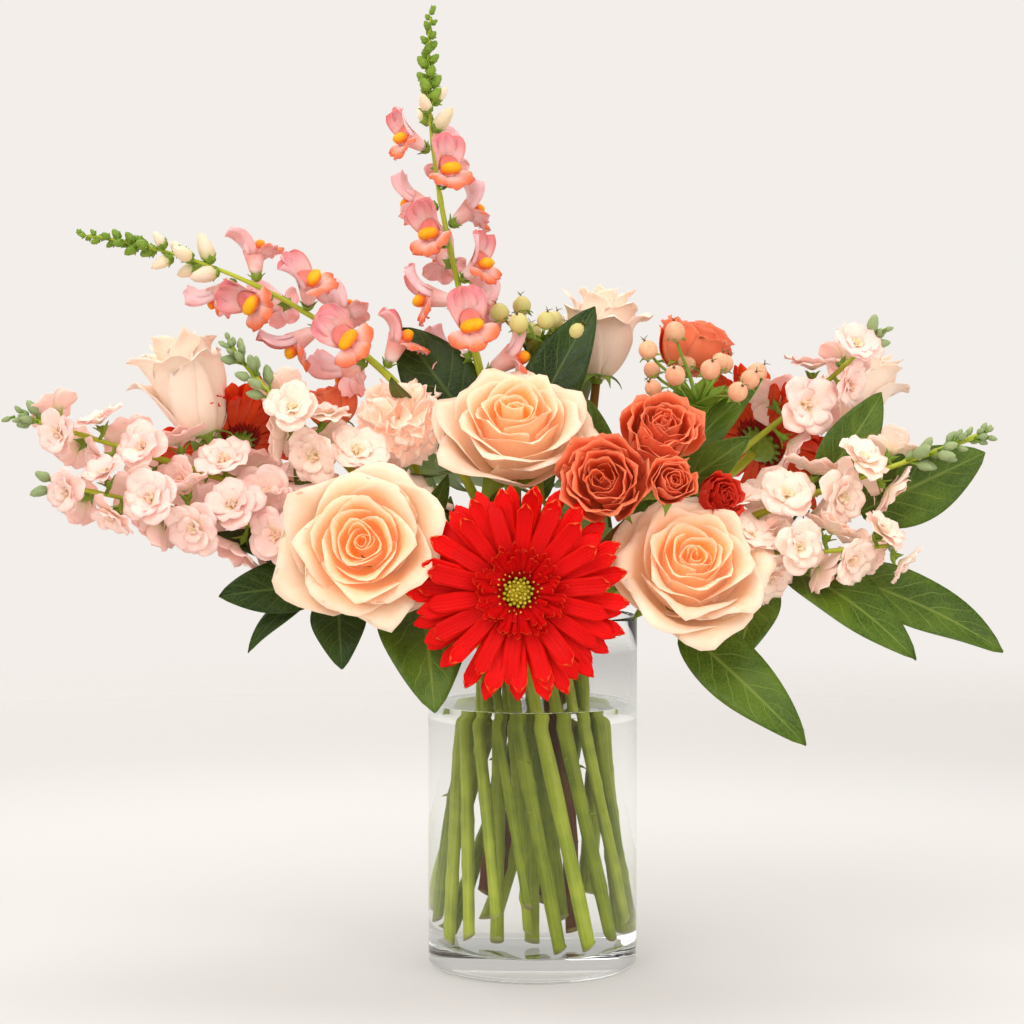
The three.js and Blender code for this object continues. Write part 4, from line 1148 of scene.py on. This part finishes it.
def makeCarnation(plant):
    # frilled fans that stand out of a ball in every direction
    look = carnationLook
    seat, facing, radius, _ = bloomSeat(plant, f"{plant}_bloom")
    lean = towards(facing, between(0, turn))
    petals, green = Shape(), Shape()
    rows, columns = look["mesh"]
    u = np.linspace(-1, 1, columns)[None, :]
    s = np.linspace(0, 1, rows)[:, None]
    for k in range(look["petals"]):
        share = (k + 0.5) / look["petals"]
        tilt, spin = 1.95 * share ** 0.52, k * golden
        way = lean @ (math.sin(tilt) * math.cos(spin), math.sin(tilt) * math.sin(spin), math.cos(tilt))
        sheet = lobe(radius * between(0.66, 0.84), radius * between(0.3, 0.42), 0.0, between(0.6, 1.4),
                     0.1 * radius, look["mesh"], 0.15, 0.95, 0.1)
        frill = look["frill"] * radius * s ** 2.5
        sheet[..., 0] += frill * np.sin(6.5 * u + between(0, turn))
        sheet[..., 2] += frill * np.sin(8.5 * u + between(0, turn))
        foot = seat + facing * look["root"] * radius + way * look["start"] * radius
        sheet = moved(sheet, towards(way, between(0, turn)), foot)
        addSheet(petals, sheet, look["thick"], between(0, 1), share)
    profile = [(0.1, 0), (0.22, 0.05), (0.25, 0.25), (0.24, 0.5), (0.3, 0.62), (0.1, 0.6)]
    addCup(green, seat, facing, [(r * radius, z * radius) for r, z in profile])
    addSepals(green, seat + facing * 0.42 * radius, facing, 0.24 * radius, 0.34 * radius, 5, 0.5, 0.5)
    petals.build(f"{plant}_petals", finishes["carnation"], "carnation", [f"{plant}_bloom"])
    green.build(f"{plant}_calyx", finishes["calyx"], "leaf")


def spikeRange(plant):
    # where along its stem a spike's flowers start and end
    line = stems[plant]["line"]
    reach = lengthAlong(line)
    points = welded(f"{plant}_flowers")[0]
    near = [nearest(line, p) for p in points
            if np.linalg.norm(line - p, axis=1).min() < stems[plant]["radius"] + 2.4 * mm]
    return reach[min(near)], reach[-1]


def lobe(length, half, start, bend, wave=0.0, mesh=(6, 5), foot=0.35, tip=0.55, cup=0.15):
    # a rounded petal in x (outwards), y (across) and z (forwards) that bends back as it goes
    rows, columns = mesh
    u = np.linspace(-1, 1, columns)[None, :]
    s = np.linspace(0, 1, rows)[:, None]
    angle = start + bend * s
    step = 1.0 / (rows - 1)
    out = length * np.cumsum(np.sin(angle), axis=0) * step - length * step * np.sin(start)
    forward = length * np.cumsum(np.cos(angle), axis=0) * step - length * step * np.cos(start)
    width = half * (foot + (1 - foot) * np.sin(math.pi / 2 * np.clip(s / 0.6, 0, 1)))
    width = width * np.sqrt(np.clip(1 - (1 - tip ** 2) * smooth(0.62, 1.05, s) ** 2, 0.02, 1))
    drop = tip * 0.22 * u ** 2 * smooth(0.5, 1, s) * length
    ripple = wave * s ** 2 * np.sin(1.5 * math.pi * u + between(0, turn))
    rise = cup * half * u ** 2
    return np.stack([out - drop * np.sin(angle) - (ripple + rise) * np.cos(angle), width * u + 0 * s,
                     forward - drop * np.cos(angle) + (ripple + rise) * np.sin(angle)], -1)


def addLobe(shape, sheet, spin, out, rise, lean, at, thick, tone, layer):
    addSheet(shape, moved(turnedAbout(sheet, spin, out, rise), lean, at), thick, tone, layer)


stockLook = {
    # petals, reach, half width, start angle, bend and colour layer of each tier, from the outside in
    "tiers": ((4, 1.0, 0.5, 1.0, 0.6, 1.0), (4, 0.86, 0.46, 0.75, 0.7, 0.9),
              (3, 0.58, 0.34, 0.4, 0.9, 0.8), (3, 0.34, 0.2, -0.25, 0.9, 0.6)),
    "thick": 0.45 * mm, "step": 8.5 * mm, "radius": 20 * mm, "reach": 12 * mm, "wave": 0.075,
    "open": {"stock_left_top": 0.72, "stock_left_long": 0.9, "stock_left_low": 0.97,
             "stock_right_long": 0.72, "stock_right_low": 1.05, "stock_right_top": 0.86},
    "lower": {"stock_left_top": 24 * mm, "stock_left_long": 14 * mm, "stock_left_low": 14 * mm,
              "stock_right_long": 12 * mm, "stock_right_low": 16 * mm},  # how far open flowers reach down
    "pink": ("stock_left_long", "stock_left_low", "stock_right_top"),
}


def addStockFlower(shape, at, facing, radius):
    lean = towards(facing, between(0, turn))
    tone = between(0, 1)
    for count, reach, half, start, bend, layer in stockLook["tiers"]:
        offset = between(0, turn)
        for k in range(count):
            mesh = (8, 7) if reach > 0.8 else (6, 5)
            sheet = lobe(radius * reach * between(0.88, 1.08), radius * half, start + between(-0.2, 0.2),
                         bend * between(0.7, 1.3), stockLook["wave"] * radius, mesh, 0.25, 0.8, 0.1)
            addLobe(shape, sheet, offset + k * turn / count + between(-0.15, 0.15), 0.4 * mm, 0, lean, at,
                    stockLook["thick"], np.clip(tone + between(-0.25, 0.25), 0, 1), layer)


def addBud(shape, at, facing, length, radius, sides=7, own=(0, 0, 0, 0.3, 0.6)):
    rings = turnedRings([(0.35 * radius, 0), (radius, 0.3 * length), (radius * 0.95, 0.55 * length),
                         (0.6 * radius, 0.85 * length), (0.12 * radius, length)], sides)
    addLoft(shape, moved(rings, towards(facing, between(0, turn)), at), between(0, 1), 1, own)


def sideways(way, angle):
    lean = towards(way)
    return lean @ np.array([math.cos(angle), math.sin(angle), 0.0])


def makeStock(plant):
    look, line = stockLook, stems[plant]["line"]
    start, end = spikeRange(plant)
    start = start - look["lower"].get(plant, 0)
    flowers, buds, green = Shape(), Shape(), Shape()
    count = round((end - start) / look["step"])
    limit = look["open"][plant]
    for k in range(count + 1):
        share = k / count
        at, way = pointAt(line, min(start + share * (end - start), end))
        out = sideways(way, k * golden)
        if share < limit:
            size = look["radius"] * (1 - 0.3 * share) * between(0.9, 1.06)
            facing = unit(out + way * (0.3 + 0.6 * share) + dice.normal(size=3) * 0.12)
            spot = at + out * look["reach"] * (1 - 0.3 * share) + way * 2 * mm
            addStockFlower(flowers, spot, facing, size)
            stalk = bezier([at, at + out * 4 * mm, spot - facing * 7 * mm, spot - facing * 1.5 * mm],
                           np.linspace(0, 1, 6))
            widths = np.array([1.2, 1.1, 1.1, 1.5, 2.0, 1.5]) * mm
            addLoft(green, sweep(stalk, widths, 6), between(0, 1), 0)
            addSepals(green, spot - facing * 5 * mm, facing, 1.6 * mm, 8 * mm, 4, 0.3, 0.22)
        else:
            for ring in range(4):
                out = sideways(way, (4 * k + ring) * golden)
                size = (6.0 - 3.2 * (share - limit) / max(1 - limit, 0.1)) * mm * between(0.8, 1.1)
                facing = unit(out + way * 1.3)
                foot = at + out * 1.0 * mm + way * between(-4, 4) * mm
                addLoft(green, sweep(np.array([foot, foot + facing * size * 0.5, foot + facing * size]),
                                     np.array([0.8, 0.8, 1.0]) * mm, 5), between(0, 1), 0)
                addBud(buds, foot + facing * size * 0.8, facing, 1.9 * size, 0.55 * size)
    tip = stems[plant]["line"][-1]
    for ring in range(5):
        out = sideways(stems[plant]["facing"], ring * turn / 5)
        addBud(buds, tip - stems[plant]["facing"] * 3 * mm + out * 1.2 * mm,
               unit(out * 0.5 + stems[plant]["facing"]), 5 * mm, 1.6 * mm)
    finish = "pinkStock" if plant in look["pink"] else "stock"
    flowers.build(f"{plant}_petals", finishes[finish], "stock", [f"{plant}_flowers"])
    if buds.size:
        buds.build(f"{plant}_buds", finishes["stockBud"], "stock")
    green.build(f"{plant}_stalks", finishes["calyx"], "stem")


snapLook = {
    "step": 10.5 * mm, "length": 31 * mm, "thick": 0.6 * mm,
    "openTo": {"snapdragon_left": 0.54, "snapdragon_middle": 0.64}, "budTo": 0.78,
    # turn from the top, reach, half width, start angle, bend, hollow and colour of each lobe
    "lobes": ((-0.32, 0.6, 0.27, 0.0, 1.3, 0.5, 1.0),
              (0.32, 0.6, 0.27, 0.0, 1.3, 0.5, 1.0),
              (math.pi - 0.8, 0.4, 0.22, 0.7, 1.3, -0.3, 0.2),
              (math.pi + 0.8, 0.4, 0.22, 0.7, 1.3, -0.3, 0.2),
              (math.pi, 0.44, 0.2, 0.8, 1.1, -0.3, 0.0)),
    "tube": ((0.07, 0), (0.13, 0.1), (0.17, 0.3), (0.22, 0.5), (0.2, 0.62), (0.1, 0.6)),
    # how far out, how high and how low each ring of the throat lies
    "throat": ((0.21, 0.5, 0.0), (0.22, 0.58, 0.01), (0.18, 0.66, 0.02), (0.09, 0.7, 0.03)),
}


def addSnapFlower(petals, throats, at, lean, length, gape):
    # x of lean is up the spike, z is the way the flower looks out
    tone = between(0, 1)
    tube = turnedRings(np.array(snapLook["tube"]) * length, 10, 0.85)
    addLoft(petals, moved(tube, lean, at), tone, 0.4)
    rings = []
    for spin, reach, half, start, bend, cup, layer in snapLook["lobes"]:
        sheet = lobe(length * reach * between(0.92, 1.08), length * half, start,
                     bend * gape * between(0.85, 1.15), 0.05 * length, (8, 7), 0.75, 0.7, cup)
        addLobe(petals, sheet, spin, 0.17 * length, 0.4 * length, lean, at, snapLook["thick"],
                np.clip(tone + between(-0.2, 0.2), 0, 1), layer)
    angle = np.linspace(0, turn, 12, endpoint=False)
    below = np.exp(-((angle - math.pi) / 0.5) ** 2)
    above = np.exp(-(np.minimum(angle, turn - angle) / 0.5) ** 2)
    for out, rise, drop in snapLook["throat"]:
        hump = out * (1 - 0.2 * below - 0.12 * above)  # two humps with a groove between them
        rings.append(np.stack([0.62 * hump * np.cos(angle) - 0.1 - drop, hump * np.sin(angle),
                               0 * angle + rise], -1))
    addLoft(throats, moved(np.array(rings) * length, lean, at), tone, 0.5)


def makeSnapdragon(plant):
    look, line = snapLook, stems[plant]["line"]
    start, end = spikeRange(plant)
    petals, throats, buds, green = Shape(), Shape(), Shape(), Shape()
    count, openTo = round((end - start) / look["step"]), look["openTo"][plant]
    for k in range(count + 1):
        share = k / count
        at, way = pointAt(line, min(start + share * (end - start), end))
        out = sideways(way, k * golden)
        facing = unit(out + way * (0.35 + 0.5 * share))
        ahead = unit(way - facing * way.dot(facing))
        lean = np.stack([ahead, np.cross(facing, ahead), facing], -1)
        spot = at + out * stems[plant]["radius"] * 0.9
        if share < openTo:
            size = look["length"] * (1 - 0.22 * share) * between(0.92, 1.05)
            addSnapFlower(petals, throats, spot + facing * 3 * mm, lean, size, 1 - 0.25 * share)
            addSepals(green, spot, facing, 1.5 * mm, 8 * mm, 5, 0.25, 0.28)
        elif share < look["budTo"]:
            for ring in range(2):
                out = sideways(way, (2 * k + ring) * golden)
                facing = unit(out + way * 0.9)
                spot = at + out * stems[plant]["radius"] * 0.5 + way * ring * 5 * mm
                size = look["length"] * (0.64 - 0.3 * (share - openTo) / (look["budTo"] - openTo))
                addBud(buds, spot, facing, size, 0.25 * size, 9)
                addSepals(green, spot, facing, 1.6 * mm, 7.5 * mm, 5, 0.2, 0.36)
        else:
            for ring in range(4):
                out = sideways(way, (4 * k + ring) * golden)
                size = (9.5 - 5.5 * (share - look["budTo"]) / (1 - look["budTo"])) * mm
                foot = at + way * (ring - 1.5) * 2.6 * mm + out * 0.8 * mm
                facing = unit(out + way * 0.9)
                addBud(green, foot, facing, size, 0.34 * size, 7, 0)
                addSepals(green, foot, facing, 0.6 * mm, 0.8 * size, 4, 0.3, 0.4)
    petals.build(f"{plant}_petals", finishes["snapdragon"], "snapdragon", [f"{plant}_flowers"])
    throats.build(f"{plant}_throats", finishes["throat"], "snapdragon")
    buds.build(f"{plant}_buds", finishes["snapBud"], "snapdragon")
    green.build(f"{plant}_sepals", finishes["calyx"], "stem")


berryLook = {
    "hypericum_middle": {"size": 0.7, "finish": "greenBerry"},
    "hypericum_right": {"size": 1.0, "finish": "berry"},
    "berries": 13, "radius": 5.3 * mm, "reach": 38 * mm, "leaves": 8, "leafWidth": 13 * mm,
    "profile": ((0.12, -0.98), (0.5, -0.86), (0.85, -0.5), (0.98, 0.0), (0.9, 0.45), (0.62, 0.84),
                (0.25, 1.06), (0.06, 1.12)),
}


def makeBerries(plant):
    look = berryLook[plant]
    hub, facing = stems[plant]["line"][-1], stems[plant]["facing"]
    lean = towards(facing)
    berries, green = Shape(), Shape()
    count, radius = round(berryLook["berries"] * look["size"]), berryLook["radius"]
    for k in range(count):
        spread = 0.25 + 0.75 * math.sqrt(k / count)
        way = unit((math.cos(k * golden) * spread, math.sin(k * golden) * spread, 1.15 - 0.5 * spread))
        reach = berryLook["reach"] * look["size"] * (0.95 + 0.35 * ((k * 5) % 3) / 2)
        way = lean @ way
        end = hub + way * reach
        twig = bezier([hub, hub + facing * reach * 0.45, end - way * reach * 0.35,
                       end - way * radius * 0.8], np.linspace(0, 1, 9))
        addLoft(green, sweep(twig, np.linspace(1.2, 0.8, 9) * mm, 7), between(0, 1), 0)
        size = radius * between(0.86, 1.08)
        rings = turnedRings(np.array(berryLook["profile"]) * size, 16)
        facingHere = unit(way + facing * 0.4)
        leanHere = towards(facingHere, between(0, turn))
        addLoft(berries, moved(rings, leanHere, end), between(0, 1), 0, [0.2, 0, 0, 0, 0, 0, 0.3, 1])
        for style in range(3):  # dry styles on the tip
            out = sideways(facingHere, style * turn / 3)
            tip = end + facingHere * size * 1.08
            addLoft(berries, sweep(np.array([tip, tip + (facingHere + out * 0.5) * 1.4 * mm,
                                             tip + (facingHere + out * 1.1) * 2.4 * mm]),
                                   np.array([0.35, 0.25, 0.12]) * mm, 5), 0.5, 0, 1)
        addSepals(green, end - facingHere * size * 0.95, facingHere, 1.0 * mm, 7.5 * mm, 5, 1.1, 0.36)
    for k in range(berryLook["leaves"]):
        out = sideways(facing, k * golden + 0.4)
        tip = hub + unit(out + facing * between(0.7, 1.6)) * between(24, 34) * mm * look["size"]
        across = np.cross(facing, tip - hub)
        addLeaf(green, {"hub": hub, "tip": tip, "way": unit(tip - hub), "across": unit(across),
                        "face": unit(np.cross(tip - hub, across)), "width": berryLook["leafWidth"],
                        "arch": 2 * mm, "bare": 0.06}, 0.6 * mm)
    berries.build(f"{plant}_fruit", finishes[look["finish"]], "berry", [f"{plant}_berries"])
    green.build(f"{plant}_twigs", finishes["calyx"], "stem")


leafLook = {
    "thick": 0.8 * mm, "fold": 0.2, "wave": 0.035, "stalk": 1.15 * mm,
    "carriers": {
        "leaves_right": ("greens_right", "leaf"), "leaves_rose_right": ("rose_right", "leaf"),
        "leaves_left": ("greens_left", "darkLeaf"), "leaves_rose_left": ("rose_left", "leaf"),
        "leaves_top": ("snapdragon_middle", "darkLeaf"), "leaves_hypericum": ("hypericum_right", "leaf"),
        "leaves_back": ("greens_back", "leaf"),
    },
}


def addLeaf(shape, plan, thick, mesh=(18, 9)):
    rows, columns = mesh
    u = np.linspace(-1, 1, columns)[None, :, None]
    s = np.linspace(0.012, 1, rows)[:, None, None]
    share = plan["bare"] + (1 - plan["bare"]) * s
    half = plan["width"] / 2 * np.sin(math.pi * s ** 0.78) ** 0.72 * (1 - 0.08 * s) + 0.25 * mm
    length = np.linalg.norm(plan["tip"] - plan["hub"])
    wave = leafLook["wave"] * plan["width"] * np.sin(9 * s + 3 * u + between(0, turn)) * np.abs(u) ** 1.5
    fold = leafLook["fold"] * half * np.abs(u) ** 1.2
    droop = -0.02 * length * s ** 3
    sheet = (plan["hub"] + plan["way"] * length * share + plan["across"] * u * half
             + plan["face"] * (4 * plan["arch"] * share * (1 - share) + fold + wave + droop))
    tone = between(0, 1)
    addSheet(shape, sheet, thick, tone, 0)
    reach = np.linspace(0, plan["bare"] + 0.25 * (1 - plan["bare"]), 10)[:, None]
    stalk = (plan["hub"] + plan["way"] * length * reach
             + plan["face"] * (4 * plan["arch"] * reach * (1 - reach) - 0.25 * thick))
    addLoft(shape, sweep(stalk, np.linspace(1, 0.45, 10) * leafLook["stalk"], 7), tone, 0)


def makeLeaves(name):
    carrier, finish = leafLook["carriers"][name]
    shape = Shape()
    for plan in leafPlans(name, carrier):
        addLeaf(shape, plan, leafLook["thick"])
    shape.build(f"{name}_blades", finishes[finish], "leaf", [name])


fillLook = {
    "from": 212 * mm, "least": 20 * mm, "bare": 42 * mm, "step": 15 * mm, "length": (34 * mm, 50 * mm),
    "thick": 0.6 * mm, "mesh": (11, 5),
    "kinds": ("rose", "spray", "stock", "snapdragon"), "without": ("stock_right_top", "rose_back_right"),
}


def makeFill():
    # small leaves on the stems between the vase and the blooms
    shape = Shape()
    for plant in stems:
        kind = plant.split("_")[0]
        line = stems[plant]["line"]
        reach = lengthAlong(line)
        tooLow = line[-1, 2] < fillLook["from"] + fillLook["least"]
        if tooLow or kind not in fillLook["kinds"] or plant in fillLook["without"]:
            continue
        first = reach[np.argmax(line[:, 2] > fillLook["from"])]
        last = reach[-1] - fillLook["bare"]
        if kind in ("stock", "snapdragon"):
            last = spikeRange(plant)[0] - 8 * mm
        for k, at in enumerate(np.arange(first, last, fillLook["step"])):
            hub, way = pointAt(line, at)
            out = sideways(way, k * golden + between(0, 1))
            length = between(*fillLook["length"])
            way = unit(out + way * between(0.3, 0.9))
            across = unit(np.cross(way, (0.1, 0.2, 1)))
            width = length * (0.26 if kind in ("stock", "snapdragon") else 0.52)
            plan = {"hub": hub, "tip": hub + way * length, "way": way, "across": across,
                    "face": np.cross(way, across), "width": width, "arch": 0.06 * length, "bare": 0.12}
            addLeaf(shape, plan, fillLook["thick"], fillLook["mesh"])
    shape.build("small_leaves", finishes["leaf"], "leaf")


makeCamera()
makeLight()
makeFloor()
vase = makeVase()
makeWater(vase)
print("vase and water made")
for plant in stems:
    makeStem(plant)
print("stems made:", len(stems))
for styleName, plants in (("open", ("rose_left", "rose_middle", "rose_right")),
                          ("cup", ("rose_upper", "rose_back_left", "rose_back_right")),
                          ("spray", ("spray_left",))):
    for plant in plants:
        makeRose(plant, styleName)
for name in sorted(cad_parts):
    if name.startswith("spray_rose"):
        makeSprayHead(name)
print("roses made")
for plant in ("gerbera_front", "gerbera_left", "gerbera_right"):
    makeGerbera(plant)
makeCarnation("carnation")
print("gerberas and carnation made")
makeSpike = {"stock": makeStock, "snapdragon": makeSnapdragon, "hypericum": makeBerries}
for plant in stems:
    kind = plant.split("_")[0]
    if kind in makeSpike:
        makeSpike[kind](plant)
print("spikes and berries made")
for name in leafLook["carriers"]:
    makeLeaves(name)
makeFill()
print("leaves made")
